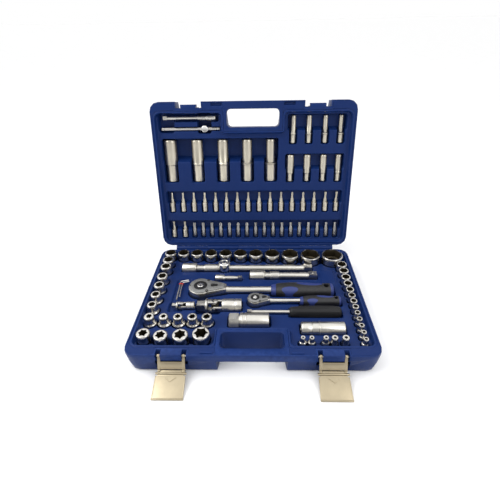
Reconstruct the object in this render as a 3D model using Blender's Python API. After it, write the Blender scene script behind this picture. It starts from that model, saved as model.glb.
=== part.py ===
"""Socket wrench set in a moulded carrying case that stands open.

Sizes are in millimetres and are turned into metres when a piece is finished.
The base lies on z = 0 with its latches towards -Y and its hinge towards +Y.
The lid is drawn flat, as if it lay open like the base: x along the hinge, y away from
the hinge (called s), z out of the lid. Its empty then stands it up at the hinge.
"""
from math import atan2, cos, pi, radians, sin

import bmesh
import bpy
from mathutils import Matrix, Vector

MM = 0.001
GAP = 0.3

# Case
CASE_HALF_X = 187.5
CASE_HALF_Y = 138.0
RIM_Z = 38.4
WALL = 2.0
TRAY_SKIN = 1.5
TRAY_DROP = 8.4
CORNER_R = 17.0
HINGE_GAP = 6.0
HINGE_Y = CASE_HALF_Y + HINGE_GAP
LID_TILT = 79.0
RIM_SIDE = 7.0
TRAY_FRONT = -119.0
TRAY_BACK = 131.0
GRIP_HALF_X = 48.0
GRIP_FRONT = -124.7
GRIP_BACK = -92.8
GRIP_WALL = 6.0
GRIP_SURROUND = 9.0
BAR_BOTTOM_Z = 24.0
# Hinge
PIN_R = 1.5
KNUCKLE_R = 4.3
HINGE_HALF = 161.0
KNUCKLES = 5
# Latches
LATCH_X = (-117.0, 117.0)
LATCH_PIN_Y = -134.0
LATCH_PIN_Z = 33.0
LATCH_PIN_R = 1.2
LINK_LENGTH = 24.0
LINK_ANGLE = 244.5
LEVER_ANGLE = 197.5
LEVER_LENGTH = 40.0
LEVER_HALF_X = 22.5
ARM_INNER = 15.9
ARM_OUTER = 20.1
BARREL_R = 2.5
PLATE_T = 1.2
ARM_T = 1.6
# Heights of the tools
HALF_TOP_Z = 46.0
QUARTER_TOP_Z = 44.0
HALF_SOCKET_H = 38.0
QUARTER_SOCKET_H = 25.0
HALF_SQUARE = 12.7
QUARTER_SQUARE = 6.35

# Wrench size and mouth diameter of each socket in a row
BACK_ROW = ((16, 22.0), (17, 23.0), (18, 24.0), (19, 25.0), (20, 25.6), (21, 26.5),
            (22, 27.6), (24, 30.0), (27, 33.5), (30, 38.0), (32, 41.0))
BACK_ROW_START_X = -167.4
BACK_ROW_GAP = 3.7
BACK_ROW_REAR_Y = 127.5
LEFT_COLUMN = ((15, 21.4, 92.0), (14, 20.5, 70.0), (13, 19.5, 39.5), (12, 18.4, 14.0),
               (11, 17.0, -12.0), (10, 15.8, -38.0))
LEFT_COLUMN_X = -167.0
HALF_DRIVE_D = 21.4
STAR_UPPER = ((11.2, 16.4), (9.4, 14.8), (11.0, 15.4), (11.8, 16.0), (12.4, 16.6))
STAR_UPPER_Y = -66.0
STAR_PITCH = 23.0
STAR_START_X = -164.5
STAR_LOWER = ((15.0, 21.0, -164.5, -102.0), (15.6, 21.6, -137.5, -105.5),
              (17.6, 24.0, -108.0, -104.5), (19.6, 26.4, -77.0, -101.5))
RIGHT_COLUMN = ((14, 18.8), (13, 17.8), (12, 16.7), (11, 15.6), (10, 14.0), (9, 12.6), (8, 12.0),
                (7, 10.9), (6, 9.7), (5.5, 9.0), (5, 8.6), (4.5, 8.2), (4, 7.8))
RIGHT_COLUMN_X = 167.5
RIGHT_COLUMN_START_Y = 78.6
RIGHT_COLUMN_GAP = 2.05
QUARTER_DRIVE_D = 12.0
SMALL_STAR = ((3.6, 7.2, 75.5), (4.2, 7.6, 88.5), (4.8, 8.4, 109.5), (5.8, 9.6, 122.5),
              (6.6, 10.6, 138.7))
SMALL_STAR_Y = -107.5
DEEP_HALF = ((17, 23.4, -159.5), (15, 20.8, -108.0), (14, 19.6, -58.7), (13, 18.0, -12.0),
             (12, 16.6, 33.2))
DEEP_HALF_S = (136.5, 214.5)
DEEP_HALF_Z = -21.0
DEEP_QUARTER_UPPER = ((7, 9.4, 74.4), (6, 8.8, 103.8), (5, 8.2, 133.8), (4, 7.4, 162.5))
DEEP_QUARTER_LOWER = ((11, 13.6, 70.8), (10, 12.8, 103.2), (9, 11.8, 134.2), (8, 10.6, 162.8))
UPPER_S = (207.5, 256.5)
LOWER_S = (135.5, 185.5)
DEEP_QUARTER_Z = -16.5
BIT_SOCKETS = 16
BIT_SOCKET_X = (-164.4, 164.2)
BIT_SOCKET_S = (75.5, 93.5, 113.5)
BITS = 17
BIT_X = (-123.3, 166.0)
BIT_S = (20.7, 50.5)
LOWER_BIT_SOCKET_X = (-166.0, -143.1)
LOWER_BIT_SOCKET_S = (20.7, 37.0, 53.0)
BIT_Z = -14.5

# Troughs of the base tray: x from and to, y from and to, floor height
LOW_FLOOR = HALF_TOP_Z - HALF_SOCKET_H - GAP
MID_FLOOR = QUARTER_TOP_Z - QUARTER_SOCKET_H - GAP
BASE_TROUGHS = (
    (-178.6, -155, -53, 106, LOW_FLOOR), (-177.5, -60, -118.6, -52, LOW_FLOOR),
    (156.5, 178.5, -118, 92, MID_FLOOR), (67.5, 147, -116, -99, MID_FLOOR),
    (-140, 114, 71, 93, 20.0), (-8.5, 120.5, 47, 69, 20.0), (-73, -19.5, 41.5, 55.5, 26.0),
    (-80, 35, 6, 24, 23.0), (28, 145.5, -1.5, 31.5, 16.5),
    (8, 84, -21.5, -8.5, 28.0), (77, 152, -26.5, -3.8, 21.5),
    (-12, 64, -45.5, -36.5, 27.5), (58, 148, -52.5, -29.5, 21.0),
    (-144, -118, -39.5, -14.5, 24.5), (-119, -96.5, -35.5, -18.5, 24.5),
    (-97.5, -54, -45, -6, 17.0), (-60, -17, -38.5, -12.5, 18.0),
    (-41, 29.5, -75, -46, 16.0), (73, 147, -90, -66, 19.0),
    (-142, -114, -16, 49, 27.0),
)
# Round hollows: centre, radius, floor height
BASE_WELLS = ((-56.6, 82, 13.6, 11.0), (-93.6, 15, 23.0, 20.5), (-93.6, 15, 11.5, 5.0),
              (3.7, -15, 15.0, 25.5), (3.7, -15, 5.5, 17.0))
# Hollows over a polygon: corners, floor height, corner radius
BASE_WEDGES = (
    (((-178.6, 102.5), (60, 94), (94, 84.6), (176.8, 84.6), (176.8, 128.6), (-178.6, 128.6)),
     LOW_FLOOR, 7.5),
    (((-83, -3.5), (-47, 5), (-47, 25), (-83, 33.5)), 20.5, 1.5),
    (((10, -27.5), (30, -21), (30, -9), (10, -2.5)), 25.5, 1.5),
)
# Troughs of the lid tray: x from and to, s from and to, floor
LID_TROUGHS = (
    (-170.5, -66.5, 247, 261, -21.8), (-174, -60.5, 230, 239, -19.0),
    (-104.5, -76.5, 226, 243, -31.0), (-174, 174, 73, 117, -21.5), (-176, 176, 17.5, 57, -21.5),
)
STOP_BAR_X = (-66.0, 66.0)
STOP_BAR_HALF = 9.0
STOP_BAR_Y = (-134.5, -131.5)
STOP_BAR_RISE = 1.2
# Draft of a case half: inset and height of each level, outside and inside
TUB_OUTSIDE = ((11.0, 0.0), (4.2, 2.6), (2.2, 13.0), (0.0, 32.0))
TUB_INSIDE = ((12.0, 2.0), (6.2, 4.4), (4.2, 13.0), (WALL, 32.0))
# Latch seats in the two halves
SEAT_HALF_X = 25.0
SEAT_INNER_Y = -124.0
SEAT_FLOOR_Z = 21.0
ARM_SLOT_HALF_X = (15.4, 22.6)
LEVER_SLOT_HALF_X = 24.0
LEVER_SLOT_TOP_Z = 26.5
CATCH_HALF_X = 23.5
# Floors of the deep hollows of the lid
DEEP_HALF_FLOOR = -33.6
DEEP_QUARTER_FLOOR = -24.2
FINGER_FLOOR = -18.4
DEEP_CLEAR = 2.0
# Extension bars: both ends of the axis, radii of head, shaft and grip band, span of the band
LONG_BAR = ((-138.0, 82.0, 31.0), (112.0, 82.0, 31.0), (10.3, 6.7, 8.2), (42.0, 69.0))
SHORT_BAR = ((-6.7, 58.0, 31.0), (118.5, 58.0, 31.0), (10.3, 6.7, 8.2), (37.0, 55.0))
SMALL_BAR = ((-71.0, 48.5, 33.4), (-21.5, 48.5, 33.4), (6.0, 3.6, 3.9), (20.0, 36.0))
LID_BAR = ((-69.5, 254.0, -15.2), (-167.5, 254.0, -15.2), (6.0, 3.6, 4.4), (18.0, 34.0))
# Upright T-adapter on the long bar
ADAPTER_X = -56.6
ADAPTER_FOOT_Z = 12.0
ADAPTER_H = 34.0
ADAPTER_R = 11.3
ADAPTER_BORE_R = 7.2
ADAPTER_CHAMFER = 1.7
# T-bar and its slider, in the lid
TEE_START = (-171.8, 234.5, -14.0)
TEE_LENGTH = 109.2
TEE_R = 3.2
SLIDER_X = -90.3
SLIDER_FOOT_Z = -22.6
SLIDER_H = 14.0
SLIDER_R = 6.6
SLIDER_BORE_R = 3.6
SLIDER_SQUARE_HALF = 3.1
SLIDER_SQUARE_Z = -30.4
# Spark plug sockets: x from and to, y, z, radius, wrench size
SPARK_21 = (-38.3, 26.3, -60.5, 29.8, 13.4, 21.0)
SPARK_16 = (75.6, 143.8, -78.0, 31.0, 11.2, 16.0)
# Hex keys: corner, length of the short and the long arm, width across flats
KEY_Z = 31.5
LARGE_KEY = (-134.5, 40.0, 14.5, 51.0, 2.2)
SMALL_KEY = (-130.6, 36.4, 12.0, 40.0, 1.6)
KEY_LEAN = 1.6
KEY_RISE = 4.2
# Spinner handle
SPINNER_Y = -41.0
SPINNER_Z = 32.0
SPINNER_SQUARE_X = -9.2
SPINNER_SHAFT_X = -1.5
SPINNER_SHAFT_R = 3.1
SPINNER_SHAFT_LENGTH = 110.0
SPINNER_GRIP_X = 60.5
SPINNER_GRIP = ((0, 7.0), (2, 9.6), (24, 9.9), (70, 10.2), (82, 9.6), (84.5, 7.5))
# Universal joints: centre, radius, length of the female and the male shank
HALF_JOINT = ((-64.0, -25.5, 31.0), 12.0, 33.0, 4.5)
QUARTER_JOINT = ((-119.5, -27.0, 32.5), 7.0, 13.5, 3.5)
# Ratchets: x, y, scale, top, head height, x of neck, of grip and of end, grip radius
HALF_RATCHET = (-93.6, 15.0, 1.0, 43.0, 18.0, -48.0, 31.0, 142.0, 15.0)
QUARTER_RATCHET = (3.7, -15.0, 0.63, 41.5, 12.5, 29.0, 79.5, 149.5, 10.2)
# Ratchet proportions at scale 1
HEAD_R = 21.0
RATCHET_SHAFT_R = 6.6
COVER_T = 1.6
DRIVE_RING_R = 11.8
BUTTON_R = 5.6
SELECTOR_R = 3.0
SELECTOR_REACH = 9.0
TANG_END = 28.0
TANG_SLIM = 0.7
# Grip of a ratchet: part of its length and part of its radius
GRIP_WAIST = ((0.16, 0.92), (0.45, 1.0), (0.72, 0.84), (0.94, 0.9))
GRIP_FLATNESS = 0.8

STEEL = ("satin_chrome", (0.72, 0.70, 0.66), 0.32, 1.0)
NICKEL = ("nickel_plate", (0.78, 0.72, 0.60), 0.28, 1.0)
BLUE = ("case_blue", (0.035, 0.075, 0.30), 0.45, 0.0)
GREY = ("grey_plate", (0.32, 0.32, 0.31), 0.55, 1.0)
BLACK = ("black_plastic", (0.02, 0.02, 0.02), 0.5, 0.0)
RUBBER = ("grip_black", (0.035, 0.035, 0.035), 0.7, 0.0)
RED = ("clip_red", (0.6, 0.03, 0.02), 0.4, 0.0)


# ---------------------------------------------------------------- plain tools
def clear_scene():
    """Remove every object that the scene starts with."""
    for obj in list(bpy.data.objects):
        bpy.data.objects.remove(obj, do_unlink=True)


def paint(spec):
    """Return the material of a finish, made once."""
    name, colour, roughness, metallic = spec
    mat = bpy.data.materials.get(name)
    if mat is None:
        mat = bpy.data.materials.new(name)
        mat.use_nodes = True
        shader = mat.node_tree.nodes["Principled BSDF"]
        shader.inputs["Base Color"].default_value = (*colour, 1.0)
        shader.inputs["Roughness"].default_value = roughness
        shader.inputs["Metallic"].default_value = metallic
        mat.diffuse_color = (*colour, 1.0)
    return mat


def as_object(bm):
    """Put a bmesh into a new object, faces out."""
    bmesh.ops.recalc_face_normals(bm, faces=bm.faces[:])
    mesh = bpy.data.meshes.new("solid")
    bm.to_mesh(mesh)
    bm.free()
    obj = bpy.data.objects.new("solid", mesh)
    bpy.context.collection.objects.link(obj)
    return obj


def box(x0, x1, y0, y1, z0, z1):
    """Rectangular block between two corners."""
    bm = bmesh.new()
    bmesh.ops.create_cube(bm, size=1.0)
    bmesh.ops.scale(bm, vec=(x1 - x0, y1 - y0, z1 - z0), verts=bm.verts)
    bmesh.ops.translate(bm, vec=((x0 + x1) / 2, (y0 + y1) / 2, (z0 + z1) / 2), verts=bm.verts)
    return as_object(bm)


def rod(start, end, r, segments=12, r_end=None):
    """Round bar from one point to another."""
    start, end = Vector(start), Vector(end)
    axis = end - start
    turn = Vector((0, 0, 1)).rotation_difference(axis).to_matrix().to_4x4()
    bm = bmesh.new()
    bmesh.ops.create_cone(bm, cap_ends=True, segments=segments, radius1=r,
                          radius2=r if r_end is None else r_end, depth=axis.length,
                          matrix=Matrix.Translation((start + end) / 2) @ turn)
    return as_object(bm)


def fillet(corners, radius, segments=4):
    """Outline with each corner of a polygon rounded by an arc."""
    points = []
    count = len(corners)
    for i, corner in enumerate(corners):
        here = Vector(corner)
        back = (Vector(corners[i - 1]) - here).normalized()
        ahead = (Vector(corners[(i + 1) % count]) - here).normalized()
        centre = here + (back + ahead) * radius
        first, last = here + back * radius, here + ahead * radius
        a0 = atan2(first.y - centre.y, first.x - centre.x)
        a1 = atan2(last.y - centre.y, last.x - centre.x)
        sweep = (a1 - a0 + pi) % (2 * pi) - pi
        for k in range(segments + 1):
            a = a0 + sweep * k / segments
            points.append((centre.x + radius * cos(a), centre.y + radius * sin(a)))
    return points


def rounded(x0, x1, y0, y1, radius, segments=3):
    """Rounded rectangle outline."""
    return fillet([(x0, y0), (x1, y0), (x1, y1), (x0, y1)], radius, segments)


def circle(x, y, r, segments=16, turn=0.0):
    """Round outline."""
    return [(x + r * cos(2 * pi * k / segments + turn), y + r * sin(2 * pi * k / segments + turn))
            for k in range(segments)]


def hexagon(x, y, across_flats):
    """Six-sided outline."""
    return circle(x, y, across_flats / 2 / cos(pi / 6), 6)


def prism(outline, z0, z1):
    """Straight-sided solid over an outline."""
    return loft([(outline, z0), (outline, z1)])


def loft(sections):
    """Solid through outlines of equal length at rising heights."""
    bm = bmesh.new()
    rings = [[bm.verts.new((x, y, z)) for x, y in outline] for outline, z in sections]
    for lower, upper in zip(rings, rings[1:]):
        count = len(lower)
        for k in range(count):
            bm.faces.new((lower[k], lower[(k + 1) % count], upper[(k + 1) % count], upper[k]))
    bm.faces.new(rings[0][::-1])
    bm.faces.new(rings[-1])
    return as_object(bm)


def turned(profile, start, direction, segments=12):
    """Lathed solid: profile is (distance along the axis, radius) from one end to the other."""
    start, direction = Vector(start), Vector(direction).normalized()
    turn = Vector((0, 0, 1)).rotation_difference(direction).to_matrix().to_4x4()
    sections = [(circle(0, 0, r, segments), d) for d, r in profile]
    obj = loft(sections)
    obj.data.transform(Matrix.Translation(start) @ turn)
    return obj


def move(obj, matrix):
    """Place a solid by moving its mesh."""
    obj.data.transform(matrix)
    return obj


def merge(objs):
    """Join solids that stand apart into one operand."""
    bm = bmesh.new()
    for obj in objs:
        bm.from_mesh(obj.data)
        bpy.data.objects.remove(obj, do_unlink=True)
    return as_object(bm)


def boolean(obj, other, operation):
    """Combine two solids and drop the second."""
    mod = obj.modifiers.new("combine", "BOOLEAN")
    mod.operation = operation
    mod.solver = "EXACT"
    mod.object = other
    graph = bpy.context.evaluated_depsgraph_get()
    mesh = bpy.data.meshes.new_from_object(obj.evaluated_get(graph))
    obj.modifiers.clear()
    obj.data = mesh
    bpy.data.objects.remove(other, do_unlink=True)
    return obj


def add(obj, *others):
    """Union of solids."""
    for other in others:
        boolean(obj, other, "UNION")
    return obj


def cut(obj, *others):
    """Solid less some cutters."""
    for other in others:
        boolean(obj, other, "DIFFERENCE")
    return obj


def finish(obj, name, finish_spec, origin=(0, 0, 0), parent=None):
    """Name a piece, turn it into metres, and set its origin, parent and material."""
    obj.name = name
    mesh = obj.data
    mesh.name = name
    mesh.transform(Matrix.Translation(-Vector(origin)))
    mesh.transform(Matrix.Scale(MM, 4))
    obj.location = Vector(origin) * MM
    mesh.materials.clear()
    mesh.materials.append(paint(finish_spec))
    mesh.shade_smooth()
    mesh.set_sharp_from_angle(angle=radians(35))
    if parent is not None:
        obj.parent = parent
    return obj


# ---------------------------------------------------------------- case
def flip(outline):
    """Base outline turned into the lid's own drawing, where y is measured from the hinge."""
    return [(x, HINGE_Y - y) for x, y in outline][::-1]


def half_outline(inset, segments=3):
    """Outside of one case half, drawn in by an inset."""
    return rounded(-CASE_HALF_X + inset, CASE_HALF_X - inset, -CASE_HALF_Y + inset,
                   CASE_HALF_Y - inset, CORNER_R - inset * 0.4, segments)


def recess_outline(grow=0.0):
    """Sunk field of the tray, which passes round the hand hole."""
    side = CASE_HALF_X - RIM_SIDE + grow
    front, back = TRAY_FRONT - grow, TRAY_BACK + grow
    grip_x = GRIP_HALF_X + GRIP_SURROUND - grow
    grip_y = GRIP_BACK + GRIP_SURROUND - grow
    corners = [(-side, front), (-grip_x, front), (-grip_x, grip_y), (grip_x, grip_y),
               (grip_x, front), (side, front), (side, back), (-side, back)]
    return fillet(corners, 10.0, 2)


def grip_block(grow):
    """Outline of the solid frame round the hand hole."""
    half = GRIP_HALF_X + GRIP_WALL + grow
    return [(-half, -CASE_HALF_Y - 5), (half, -CASE_HALF_Y - 5),
            (half, GRIP_BACK + GRIP_WALL + grow), (-half, GRIP_BACK + GRIP_WALL + grow)]


def outer_half(to_local, top):
    """Shell of one case half: drafted tub with the hand hole and its under-cut."""
    outside = (*TUB_OUTSIDE, (0.0, top))
    shell = loft([(to_local(half_outline(i)), z) for i, z in outside])
    inside = (*TUB_INSIDE, (WALL, top + 5))
    cavity = loft([(to_local(half_outline(i)), z) for i, z in inside])
    cut(cavity, prism(to_local(grip_block(0)), -5, top + 9))
    cut(shell, cavity)
    hole = rounded(-GRIP_HALF_X, GRIP_HALF_X, GRIP_FRONT, GRIP_BACK, 7.0)
    under = fillet([(-GRIP_HALF_X - 5, -CASE_HALF_Y - 9), (GRIP_HALF_X + 5, -CASE_HALF_Y - 9),
                    (GRIP_HALF_X, -100), (-GRIP_HALF_X, -100)], 4.0, 2)
    cut(shell, prism(to_local(hole), -5, top + 5), prism(to_local(under), -5, BAR_BOTTOM_Z))
    return shell


def tray_skin(to_local, top, pockets):
    """Moulded inner skin: rim flange, sunk field and one cup for each pocket."""
    field = top - TRAY_DROP
    tray = prism(to_local(half_outline(WALL + GAP)), top - TRAY_SKIN, top)
    add(tray, prism(to_local(recess_outline(TRAY_SKIN)), field - TRAY_SKIN, top - 0.5))
    for outline_of, floor in pockets:
        add(tray, prism(outline_of(TRAY_SKIN), floor - TRAY_SKIN, field - 0.4))
    cut(tray, prism(to_local(recess_outline()), field, top + 5))
    for outline_of, floor in pockets:
        cut(tray, prism(outline_of(0.0), floor, field + 4))
    cut(tray, prism(to_local(grip_block(GAP)), -60, top + 9))
    return tray


def pocket(x0, x1, y0, y1, floor, radius=1.5):
    """Rounded trough: a function that gives its outline grown by an amount, and its floor."""
    def outline(grow):
        return rounded(x0 - grow, x1 + grow, y0 - grow, y1 + grow, radius, 1)
    return outline, floor


def well(x, y, r, floor):
    """Round pocket."""
    def outline(grow):
        return circle(x, y, r + grow, 10)
    return outline, floor


def wedge(corners, floor, radius=1.5):
    """Pocket over a polygon, grown outwards from its centre."""
    def outline(grow):
        cx = sum(c[0] for c in corners) / len(corners)
        cy = sum(c[1] for c in corners) / len(corners)
        wide = [(x + (grow if x > cx else -grow), y + (grow if y > cy else -grow))
                for x, y in corners]
        return fillet(wide, radius, 1)
    return outline, floor


def base_tray():
    """Tray of the base with a trough for each tool."""
    pockets = [pocket(*trough) for trough in BASE_TROUGHS]
    pockets += [well(*hollow) for hollow in BASE_WELLS]
    pockets += [wedge(*slot) for slot in BASE_WEDGES]
    tray = tray_skin(lambda outline: outline, RIM_Z, pockets)
    for x in LATCH_X:
        half = SEAT_HALF_X + GAP
        cut(tray, box(x - half, x + half, -CASE_HALF_Y - 2, SEAT_INNER_Y + GAP, 20, 50))
    for x in STOP_BAR_X:
        add(tray, box(x - STOP_BAR_HALF, x + STOP_BAR_HALF, *STOP_BAR_Y, RIM_Z - 1,
                      RIM_Z + STOP_BAR_RISE))
    finish(tray, "base_tray", BLUE)


def lid_tray(lid):
    """Tray of the lid with a trough for each tool."""
    pockets = [pocket(*trough) for trough in LID_TROUGHS]
    for size, mouth, x in DEEP_HALF:
        half = max(mouth, HALF_DRIVE_D) / 2 + DEEP_CLEAR
        pockets.append(pocket(x - half, x + half, DEEP_HALF_S[0] - DEEP_CLEAR,
                              DEEP_HALF_S[1] + DEEP_CLEAR, DEEP_HALF_FLOOR))
    for rows, span in ((DEEP_QUARTER_UPPER, UPPER_S), (DEEP_QUARTER_LOWER, LOWER_S)):
        for size, mouth, x in rows:
            half = max(mouth, QUARTER_DRIVE_D) / 2 + DEEP_CLEAR
            pockets.append(pocket(x - half, x + half, span[0] - DEEP_CLEAR, span[1] + DEEP_CLEAR,
                                  DEEP_QUARTER_FLOOR))
        pockets.append(pocket(rows[0][2], rows[-1][2], span[0] + 5, span[0] + 8.4, FINGER_FLOOR, 0.5))
    tray = tray_skin(flip, -GAP, pockets)
    for x in LATCH_X:
        half = SEAT_HALF_X + 1 + GAP
        cut(tray, box(x - half, x + half, HINGE_Y + 121.7, 300, -60, 5))
    for x in STOP_BAR_X:
        half = STOP_BAR_HALF + 2 * GAP
        cut(tray, box(x - half, x + half, HINGE_Y + 130.8, HINGE_Y + 135.1, -9, 5))
    finish(tray, "lid_tray", BLUE, parent=lid)


def knuckles(shell, odd, to_point):
    """Add every second hinge knuckle, with the web that joins it to the back wall."""
    width = 2 * HINGE_HALF / KNUCKLES
    for k in range(KNUCKLES):
        if k % 2 != odd:
            continue
        x0 = -HINGE_HALF + k * width + 0.4
        x1 = x0 + width - 0.8
        y, z, inward, top = to_point
        add(shell, rod((x0, y, z), (x1, y, z), KNUCKLE_R, 8))
        add(shell, box(x0, x1, min(y, y + inward * 8.0), max(y, y + inward * 8.0), top - 5, top))
        cut(shell, rod((x0 - 1, y, z), (x1 + 1, y, z), PIN_R + 0.35, 6))


def base_shell():
    """Outer skin of the base with latch seats and hinge knuckles."""
    shell = outer_half(lambda outline: outline, RIM_Z)
    for x in LATCH_X:
        add(shell, box(x - SEAT_HALF_X, x + SEAT_HALF_X, -CASE_HALF_Y + 0.5, SEAT_INNER_Y,
                       SEAT_FLOOR_Z, RIM_Z))
        for side in (-1, 1):
            inner, outer = sorted(x + side * half for half in ARM_SLOT_HALF_X)
            cut(shell, box(inner, outer, -150, -127, 23.5, 50))
        half = LEVER_SLOT_HALF_X
        cut(shell, rod((x - half, LATCH_PIN_Y, LATCH_PIN_Z), (x + half, LATCH_PIN_Y, LATCH_PIN_Z),
                       LATCH_PIN_R + 0.35, 8))
        cut(shell, box(x - half, x + half, -150, LATCH_PIN_Y, 0, LEVER_SLOT_TOP_Z))
    knuckles(shell, 0, (HINGE_Y, RIM_Z, -1, RIM_Z - GAP))
    finish(shell, "base_shell", BLUE)


def lid_shell(lid):
    """Outer skin of the lid with latch catches and hinge knuckles."""
    shell = outer_half(flip, RIM_Z - GAP)
    move(shell, Matrix.Translation((0, 0, -RIM_Z)))
    front = HINGE_Y + CASE_HALF_Y
    for x in LATCH_X:
        half = CATCH_HALF_X
        add(shell, box(x - SEAT_HALF_X - 1, x + SEAT_HALF_X + 1, front - 16, front - 0.5,
                       -RIM_Z + 4, -GAP))
        cut(shell, box(x - half, x + half, front - 5, front + 9, -60, 5))
        cut(shell, box(x - half, x + half, front - 10, front + 9, -60, -14))
        for side in (-1, 1):
            inner, outer = sorted((x + side * 14.0, x + side * half))
            cut(shell, box(inner, outer, front - 11, front + 9, -60, 5))
    knuckles(shell, 1, (0.0, 0.0, 1, -GAP))
    finish(shell, "lid_shell", BLUE, parent=lid)


def hinge_pin():
    """Long steel pin through the hinge knuckles."""
    pin = rod((-HINGE_HALF, HINGE_Y, RIM_Z), (HINGE_HALF, HINGE_Y, RIM_Z), PIN_R, 8)
    finish(pin, "hinge_pin", STEEL, origin=(0, HINGE_Y, RIM_Z))


def along(angle, distance, offset=0.0):
    """Point in the Y-Z plane at a distance along a direction and to its right."""
    a = radians(angle)
    return Vector((0, distance * cos(a) + offset * sin(a), distance * sin(a) - offset * cos(a)))


def strip(x0, x1, origin, angle, d0, d1, o0, o1):
    """Flat bar between two distances along a direction, with its thickness across it."""
    corners = [along(angle, d, o) for d, o in ((d0, o0), (d1, o0), (d1, o1), (d0, o1))]
    outline = [(origin[1] + c.y, origin[2] + c.z) for c in corners]
    slab = prism(outline, x0, x1)
    return move(slab, Matrix(((0, 0, 1, 0), (1, 0, 0, 0), (0, 1, 0, 0), (0, 0, 0, 1))))


def latch(side, x):
    """Draw latch: base pin, link, lever and knuckle pin, hanging open."""
    pivot = Vector((x, LATCH_PIN_Y, LATCH_PIN_Z))
    knuckle = pivot + along(LINK_ANGLE, LINK_LENGTH)
    link = strip(x - ARM_OUTER + 1, x + ARM_OUTER - 1, pivot, LINK_ANGLE, 9.0, LINK_LENGTH - 3.2,
                 -PLATE_T / 2, PLATE_T / 2)
    for s in (-1, 1):
        inner, outer = sorted((x + s * ARM_INNER, x + s * ARM_OUTER))
        add(link, strip(inner, outer, pivot, LINK_ANGLE, 0, LINK_LENGTH, -ARM_T / 2, ARM_T / 2),
            rod((inner + 0.1, pivot.y, pivot.z), (outer - 0.1, pivot.y, pivot.z), 2.4, 8),
            rod((inner + 0.1, knuckle.y, knuckle.z), (outer - 0.1, knuckle.y, knuckle.z),
                BARREL_R, 8))
    for point in (pivot, knuckle):
        cut(link, rod((x - 30, point.y, point.z), (x + 30, point.y, point.z),
                      LATCH_PIN_R + 0.3, 8))
    finish(link, side + "_latch_link", NICKEL, origin=pivot)
    barrel = rod((x - ARM_INNER + GAP, knuckle.y, knuckle.z),
                 (x + ARM_INNER - GAP, knuckle.y, knuckle.z), BARREL_R, 10)
    top = BARREL_R - PLATE_T
    lever = strip(x - LEVER_HALF_X, x + LEVER_HALF_X, knuckle, LEVER_ANGLE, 3.4, LEVER_LENGTH,
                  top, top + PLATE_T)
    add(lever, strip(x - ARM_INNER + GAP, x + ARM_INNER - GAP, knuckle, LEVER_ANGLE, 0, 4,
                     top, top + PLATE_T), barrel)
    tip = knuckle + along(LEVER_ANGLE, LEVER_LENGTH, top + PLATE_T)
    add(lever, rod((x - LEVER_HALF_X, tip.y, tip.z), (x + LEVER_HALF_X, tip.y, tip.z), 1.3, 8))
    cut(lever, rod((x - 30, knuckle.y, knuckle.z), (x + 30, knuckle.y, knuckle.z),
                   LATCH_PIN_R + 0.3, 8))
    finish(lever, side + "_latch_lever", NICKEL, origin=knuckle)
    for name, point, half in (("_latch_base_pin", pivot, 22.0), ("_latch_knuckle_pin", knuckle, 20.0)):
        pin = rod((x - half, point.y, point.z), (x + half, point.y, point.z), LATCH_PIN_R, 8)
        finish(pin, side + name, NICKEL, origin=point)


# ---------------------------------------------------------------- sockets
def socket_body(x, y, z0, height, mouth_d, drive_d, segments=12):
    """Standing socket without its mouth: drive end below, mouth above."""
    wide, narrow = drive_d / 2, mouth_d / 2
    profile = ((0, wide), (height * 0.36, wide), (height * 0.36 + 3, narrow), (height, narrow))
    if narrow >= wide:
        profile = ((0, narrow), (height, narrow))
    return turned(profile, (x, y, z0), (0, 0, 1), segments)


def row(name, sockets, z0, height, sides, parent=None):
    """Row of standing sockets joined by a thin hidden strip near their feet."""
    bodies, mouths, strips = [], [], []
    for x, y, size, mouth_d, drive_d in sockets:
        bodies.append(socket_body(x, y, z0, height, mouth_d, drive_d, sides))
        mouths.append(prism(hexagon(x, y, size), z0 + height * 0.55, z0 + height + 3))
    for (xa, ya, *_), (xb, yb, *_) in zip(sockets, sockets[1:]):
        step = Vector((xb - xa, yb - ya))
        side = Vector((-step.y, step.x)).normalized() * 0.8
        a, b = Vector((xa, ya)), Vector((xb, yb))
        strips.append(prism([tuple(a - side), tuple(b - side), tuple(b + side), tuple(a + side)],
                            z0 + 1.0, z0 + 2.6))
    solid = merge(bodies)
    add(solid, *strips)
    cut(solid, merge(mouths))
    first = sockets[0]
    finish(solid, name, STEEL, origin=(first[0], first[1], z0), parent=parent)


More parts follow.
